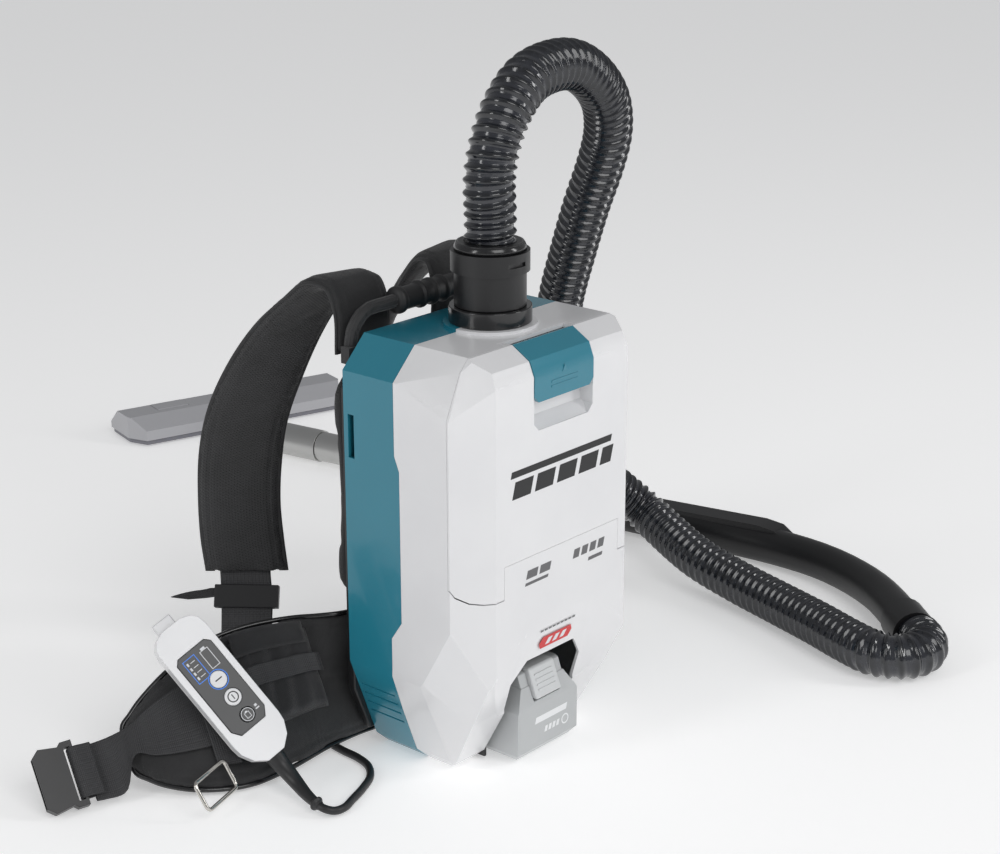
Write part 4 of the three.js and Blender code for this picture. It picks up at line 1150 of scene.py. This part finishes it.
boot_start = REMOTE_CENTRE + REMOTE_DOWN * 0.0655
boot_route = [tuple(1000 * c for c in boot_start), tuple(1000 * c for c in boot_start + REMOTE_DOWN * 0.012),
              (-190, 34, 14.5), (-193.5, 19, 10.5), (-196, 6, 8.6), (-196.2, 1.5, 7.9)]
boot_path, _ = smooth_route(boot_route, 0.0008)


def boot_taper(share):
    """Thick at the remote, slimmer towards the cable, with a ring at its mouth."""
    collar = math.exp(-(((share - 0.945) / 0.022) ** 4))
    return 1.32 - 0.72 * share ** 0.8 + 0.30 * collar


boot = round_cord("cable_boot", boot_path, 0.0064, cable_rubber, count=24, radius_at=boot_taper)
fixed(boot, "housing")
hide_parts("remote_boot")
finish_node("cable_gland", cable_rubber, 0.0006)

# ---- Wand
# A bent handpiece blow-moulded in black polypropylene with a suction slide and a lock key,
# an anodised pipe, a swivelling metal neck and a flat floor head in silver-painted ABS.
handpiece_black = moulded("handpiece_black", (0.008, 0.008, 0.009), 0.42, 1300.0, 0.00003, drift=0.12, paler=2.4)
finish_node("handpiece", handpiece_black, 0.0012, angle=32.0)
finish_node("suction_slider", black_gloss, 0.0008)
finish_node("lock_key", black_gloss, 0.0008)
anodised = metal_finish("anodised_satin", (0.52, 0.52, 0.51), 0.34)
finish_node("wand_pipe", anodised, 0.0005, angle=40.0)
finish_node("swivel_neck", anodised, 0.0008, angle=40.0)
silver_paint = moulded("silver_paint", (0.46, 0.46, 0.48), 0.36, grain=1500.0, drift=0.08, paler=1.2, coat=0.15)
sole_grey = moulded("sole_grey", (0.20, 0.20, 0.225), 0.45, 1500.0, 0.00002, drift=0.08, paler=1.4)
finish_node("floor_head", silver_paint, 0.0022, angle=20.0, segments=3)
finish_node("head_elbow", silver_paint, 0.0008, angle=40.0)
finish_node("brush_pedal", silver_paint, 0.0010)
finish_node("head_sole", sole_grey, 0.0012)

# ---- Battery, bay and the pieces inside the housing
# A pale grey battery slides on rails into its bay; above it sit the motor, fan, filter and dust bag.
battery_grey = moulded("battery_grey", (0.50, 0.515, 0.52), 0.34, 1200.0, 0.00002, paler=1.2, coat=0.1)
button_grey = moulded("button_grey", (0.66, 0.675, 0.68), 0.32, paler=1.1)
finish_node("battery", battery_grey, 0.0032, angle=35.0, segments=3)
finish_node("battery_button", button_grey, 0.0014)
finish_node("battery_bay", black_satin, 0.0006)
finish_node("battery_terminal", black_gloss, 0.0005)
motor_steel = metal_finish("motor_steel", (0.45, 0.45, 0.45), 0.3)
finish_node("motor", motor_steel, 0.0006)
finish_node("motor_mount", rubber, 0.0006)
finish_node("impeller", moulded("fan_nylon", (0.30, 0.31, 0.32), 0.4, paler=1.3), 0.0003)
finish_node("control_board", moulded("board_green", (0.01, 0.09, 0.035), 0.3, 700.0, 0.00004, paler=2.0), 0.0003)
for name in ("latch_pin", "cover_pin_left", "cover_pin_right"):
    finish_node(name, nickel, 0.0002, angle=40.0)


def paper_finish(name, colour, roughness):
    """Fleece or filter paper: matted fibres as height and faint grey dust."""
    material, tree, shader = new_material(name, sheen_weight=0.1)
    place = object_place(tree)
    fibres = noise(tree, place, 700.0, 6.0, 2.0)
    shade = shades(tree, remap(tree, noise(tree, place, 30.0, 5.0), 0.45, 0.75, to_high=0.5), colour, 1.0, 0.6)
    darker = mix(tree, 1.0, shade, (0.85, 0.85, 0.85, 1), "MULTIPLY")
    fibre_shade = mix(tree, remap(tree, fibres, 0.4, 0.6), darker, shade)
    rough = remap(tree, fibres, 0.3, 0.7, roughness - 0.1, roughness + 0.08)
    feed_shader(tree, shader, fibre_shade, rough, fibres, 0.0002)
    return material


bag_fleece = paper_finish("bag_fleece", (0.74, 0.72, 0.66), 0.85)
filter_paper = paper_finish("filter_paper", (0.80, 0.80, 0.76), 0.8)
BAG_MARGIN = 0.004
low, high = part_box("dust_bag")
centre, halves = (low + high) / 2, (high - low) / 2 - Vector((BAG_MARGIN,) * 3)
bag_vertices, bag_rings, bag_count = [], 22, 56
for i in range(bag_rings):
    up = -1 + 2 * i / (bag_rings - 1)
    shrink = 0.55 + 0.45 * max(0.0, 1 - abs(up) ** 4.5) ** 0.5
    for k in range(bag_count):
        x, y = squarish(2 * math.pi * k / bag_count, 0.45, 0.45)
        bag_vertices.append((centre.x + x * halves.x * shrink, centre.y + y * halves.y * shrink,
                             centre.z + up * halves.z))
bag = outward(new_piece("fleece_bag", bag_vertices, capped_faces(bag_rings, bag_count), bag_fleece))
stuff(bag, lambda p: p[:, 2] > high.z - 0.008, voxel=0.006, most=0.0038)


def bag_folds(points):
    """The middle fold of the bag, and a softer one on each side of it."""
    off = np.abs(points[:, 0] - centre.x)
    return np.exp(-((off / 0.006) ** 2)) + 0.6 * np.exp(-(((off - 0.05) / 0.006) ** 2))


seam_push(bag, 0.003, bag_folds)
fixed(bag, "housing")
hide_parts("dust_bag")
collar_profile = ((0.026, 0.0), (0.040, 0.0), (0.040, 0.0022), (0.026, 0.0022))
collar = turned_piece("bag_collar", collar_profile, (0, PORT_Y, high.z - 0.0032), filter_paper, closed=True)
fixed(collar, "housing")
low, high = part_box("hepa_filter")
PLEAT, FRAME_WALL = 0.004, 0.003
pleats, steps = [], int((high.x - low.x - 2 * FRAME_WALL) / PLEAT)
for i in range(steps * 2 + 1):
    x = low.x + FRAME_WALL + i * PLEAT / 2
    z_top = high.z - (0.0005 if i % 2 else 0.0042)
    pleats += [(x, low.y + FRAME_WALL, low.z + 0.001), (x, low.y + FRAME_WALL, z_top),
               (x, high.y - FRAME_WALL, z_top), (x, high.y - FRAME_WALL, low.z + 0.001)]
pleated = outward(new_piece("pleated_filter", pleats, capped_faces(steps * 2 + 1, 4), filter_paper, smooth=False))
fixed(pleated, "housing")
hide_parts("hepa_filter")
rim_loops = ((0.0, low.z), (0.0, high.z), (FRAME_WALL - 0.0004, high.z), (FRAME_WALL - 0.0004, low.z))
rim_vertices = []
for inset, z in rim_loops:
    rim_vertices += [(low.x + inset, low.y + inset, z), (high.x - inset, low.y + inset, z),
                     (high.x - inset, high.y - inset, z), (low.x + inset, high.y - inset, z)]
filter_rim = outward(new_piece("filter_rim", rim_vertices, ring_faces(4, 4, True), black_satin, smooth=False))
fixed(filter_rim, "housing")

# ---- Marks on the housing and battery
# Pad-printed flat blocks: a slanted band across the cover, two small grey marks on the shell under it,
# a red badge above the bay, and an arrow and bars moulded proud of the latch.
FRONT_FACE, LATCH_FACE, BATTERY_FACE = -0.082, -0.0827, -0.068
BUTTON_FACE, BUTTON_FOOT, BUTTON_SLOPE = -0.0694, 0.0553, 0.388
APRON_TOP, APRON_FOOT = Vector((0, -0.082, 0.136)), Vector((0, -0.072, 0.0955))


def on_front(x, z, lift):
    """A point on the flat front, at that width and height."""
    return Vector((x, FRONT_FACE - lift, z))


def on_apron(x, along, lift):
    """A point on the slope above the bay: across it, and down from its top edge."""
    down = (APRON_FOOT - APRON_TOP).normalized()
    return APRON_TOP + down * along + Vector((x, down.z * lift, -down.y * lift))


def on_latch(x, z, lift):
    return Vector((x, LATCH_FACE - lift, z))


def slanted(x0, x1, z0, z1, lean=0.28):
    """A block with both ends leaning to the right."""
    middle = (z0 + z1) / 2
    return [(x0 + lean * (z0 - middle), z0), (x1 + lean * (z0 - middle), z0),
            (x1 + lean * (z1 - middle), z1), (x0 + lean * (z1 - middle), z1)]


ink_grey = moulded("ink_grey", (0.13, 0.13, 0.135), 0.4, drift=0.05, paler=1.5)
ink_red = moulded("ink_red", (0.62, 0.018, 0.022), 0.35, drift=0.05, paler=1.2)
blocks = ((-60, -38), (-33, -11), (-6, 16), (21, 43), (48, 62))
band = [slanted(-63, 61, 262.5, 268)] + [slanted(x0, x1, 245, 259) for x0, x1 in blocks]
printed("front_band", band, 0.0, INK, ink_black, "cover", place=on_front)
left_mark = [slanted(-44, -31, 174, 181), slanted(-28, -15, 174, 181), slanted(-46, -18, 168.5, 171)]
right_mark = [slanted(x, x + 7.5, 174, 181.5) for x in (14, 24.5, 35, 45.5)] + [slanted(33, 51, 166.5, 169.5)]
printed("apron_marks", left_mark + right_mark, 0.0, INK, ink_grey, place=on_front)
small_blocks = [bar(x, 15.0, x + 3.4, 16.6) for x in range(-22, 20, 5)]
printed("bay_small_mark", small_blocks, 0.0, INK, ink_grey, place=on_apron)
badge = [[(-18, 34), (-20.5, 29), (-17, 23), (18, 23), (20.5, 28), (17, 34)]]
printed("bay_badge", badge, 0.0, INK, ink_red, place=on_apron)
badge_bars = [[(x, 31.5), (x + 3, 25.5), (x + 8, 25.5), (x + 5, 31.5)] for x in (-12.5, -3.5, 5.5)]
printed("bay_badge_bars", badge_bars, INK, INK, ink_white, place=on_apron)
latch_marks = [[(-3, 336), (3, 336), (0, 341)], bar(-16, 329.6, 16, 331.2), bar(-16, 325.6, 16, 327.2)]
printed("latch_marks", latch_marks, 0.0, 0.0004, teal_shell, "latch", place=on_latch)


def on_battery(x, z, lift):
    return Vector((x, BATTERY_FACE - lift, z))


ink_pale = moulded("ink_pale", (0.84, 0.85, 0.86), 0.4, drift=0.05, paler=1.0)
charge = [slanted(x, x + 3.2, 22, 27) for x in (-4, 1, 6, 11)] + [slanted(-16, 24, 33, 38.5)]
charge += ring_outline(22, 24.5, 4.6, 3.4)
printed("battery_marks", charge, 0.0, INK, ink_pale, "battery", place=on_battery)
button_ribs = [bar(-11, 61 + 4 * k, 11, 62.4 + 4 * k) for k in range(4)]


def on_button(x, z, lift):
    """A point on the release button's slope."""
    return Vector((x, BUTTON_FACE + (z - BUTTON_FOOT) * BUTTON_SLOPE - lift, z))


printed("button_ribs", button_ribs, -0.0002, 0.0009, button_grey, "battery_release",
        place=on_button)

# ---- Floor and light
# A pale flat floor, a large soft box over the front and a tall narrow one at each side.
FLOOR_SIZE = 60.0
BOXES = (
    ("key_light", (-1.0, -2.6, 2.4), (0.0, 0.0, 0.25), (1.9, 1.9), 38.0),
    ("left_light", (-2.6, 0.5, 1.3), (0.0, 0.0, 0.3), (0.5, 1.8), 15.0),
    ("right_light", (1.6, -2.2, 1.3), (0.1, 0.0, 0.3), (0.4, 1.6), 16.0),
)
floor_mesh = bpy.data.meshes.new("floor")
half = FLOOR_SIZE / 2
corners = [(-half, -half, 0), (half, -half, 0), (half, half, 0), (-half, half, 0)]
floor_mesh.from_pydata(corners, [], [(0, 1, 2, 3)])
floor = put_in_scene("floor", floor_mesh)
floor.location.z = min(0.0, cad_box[0].z) - 0.0004
floor_material, _, _ = new_material("pale_floor", base_color=(0.90, 0.90, 0.90, 1), roughness=0.8,
                                   emission_color=(1, 1, 1, 1), emission_strength=0.34)
floor_mesh.materials.append(floor_material)
for name, place, aim, size, power in BOXES:
    lamp = bpy.data.lights.new(name, "AREA")
    lamp.shape, lamp.size, lamp.size_y, lamp.energy = "RECTANGLE", size[0], size[1], power
    box_light = put_in_scene(name, lamp)
    box_light.location = place
    box_light.rotation_mode = "QUATERNION"
    box_light.rotation_quaternion = (Vector(aim) - Vector(place)).to_track_quat("-Z", "Y")
world = bpy.data.worlds.new("studio")
world.use_nodes = True
tree = world.node_tree
seen = tree.nodes["Background"]
seen.inputs["Color"].default_value, seen.inputs["Strength"].default_value = (1.0, 1.0, 1.0, 1), 1.0
glow = node(tree, "ShaderNodeBackground", [("Color", (0.97, 0.98, 1.0, 1)), ("Strength", 0.30)])
seen_directly = node(tree, "ShaderNodeLightPath").outputs["Is Camera Ray"]
pick = node(tree, "ShaderNodeMixShader", [(0, seen_directly), (1, glow.outputs[0]), (2, seen.outputs[0])])
tree.links.new(pick.outputs[0], tree.nodes["World Output"].inputs[0])
bpy.context.scene.world = world
bpy.context.scene.view_settings.view_transform = "Standard"

# ---- Camera
# A short telephoto, 1.8 m from the object, a little above it and to its left.
CAMERA_PLACE = (-1.2123, -1.0690, 0.8103)
CAMERA_LENS, SENSOR = 75.69, 36.0
AZIMUTH, ELEVATION, ROLL = math.radians(-49.02), math.radians(18.44), math.radians(-0.09)
away = Vector((math.sin(AZIMUTH) * math.cos(ELEVATION), -math.cos(AZIMUTH) * math.cos(ELEVATION),
               math.sin(ELEVATION)))
lens = bpy.data.cameras.new("camera")
lens.lens, lens.sensor_width, lens.sensor_fit = CAMERA_LENS, SENSOR, "HORIZONTAL"
lens.clip_start, lens.clip_end = 0.05, 30.0
camera = put_in_scene("camera", lens)
camera.location = CAMERA_PLACE
camera.rotation_mode = "QUATERNION"
facing = away.to_track_quat("Z", "Y").to_matrix() @ Matrix.Rotation(ROLL, 3, "Z")
camera.rotation_quaternion = facing.to_quaternion()
bpy.context.scene.camera = camera
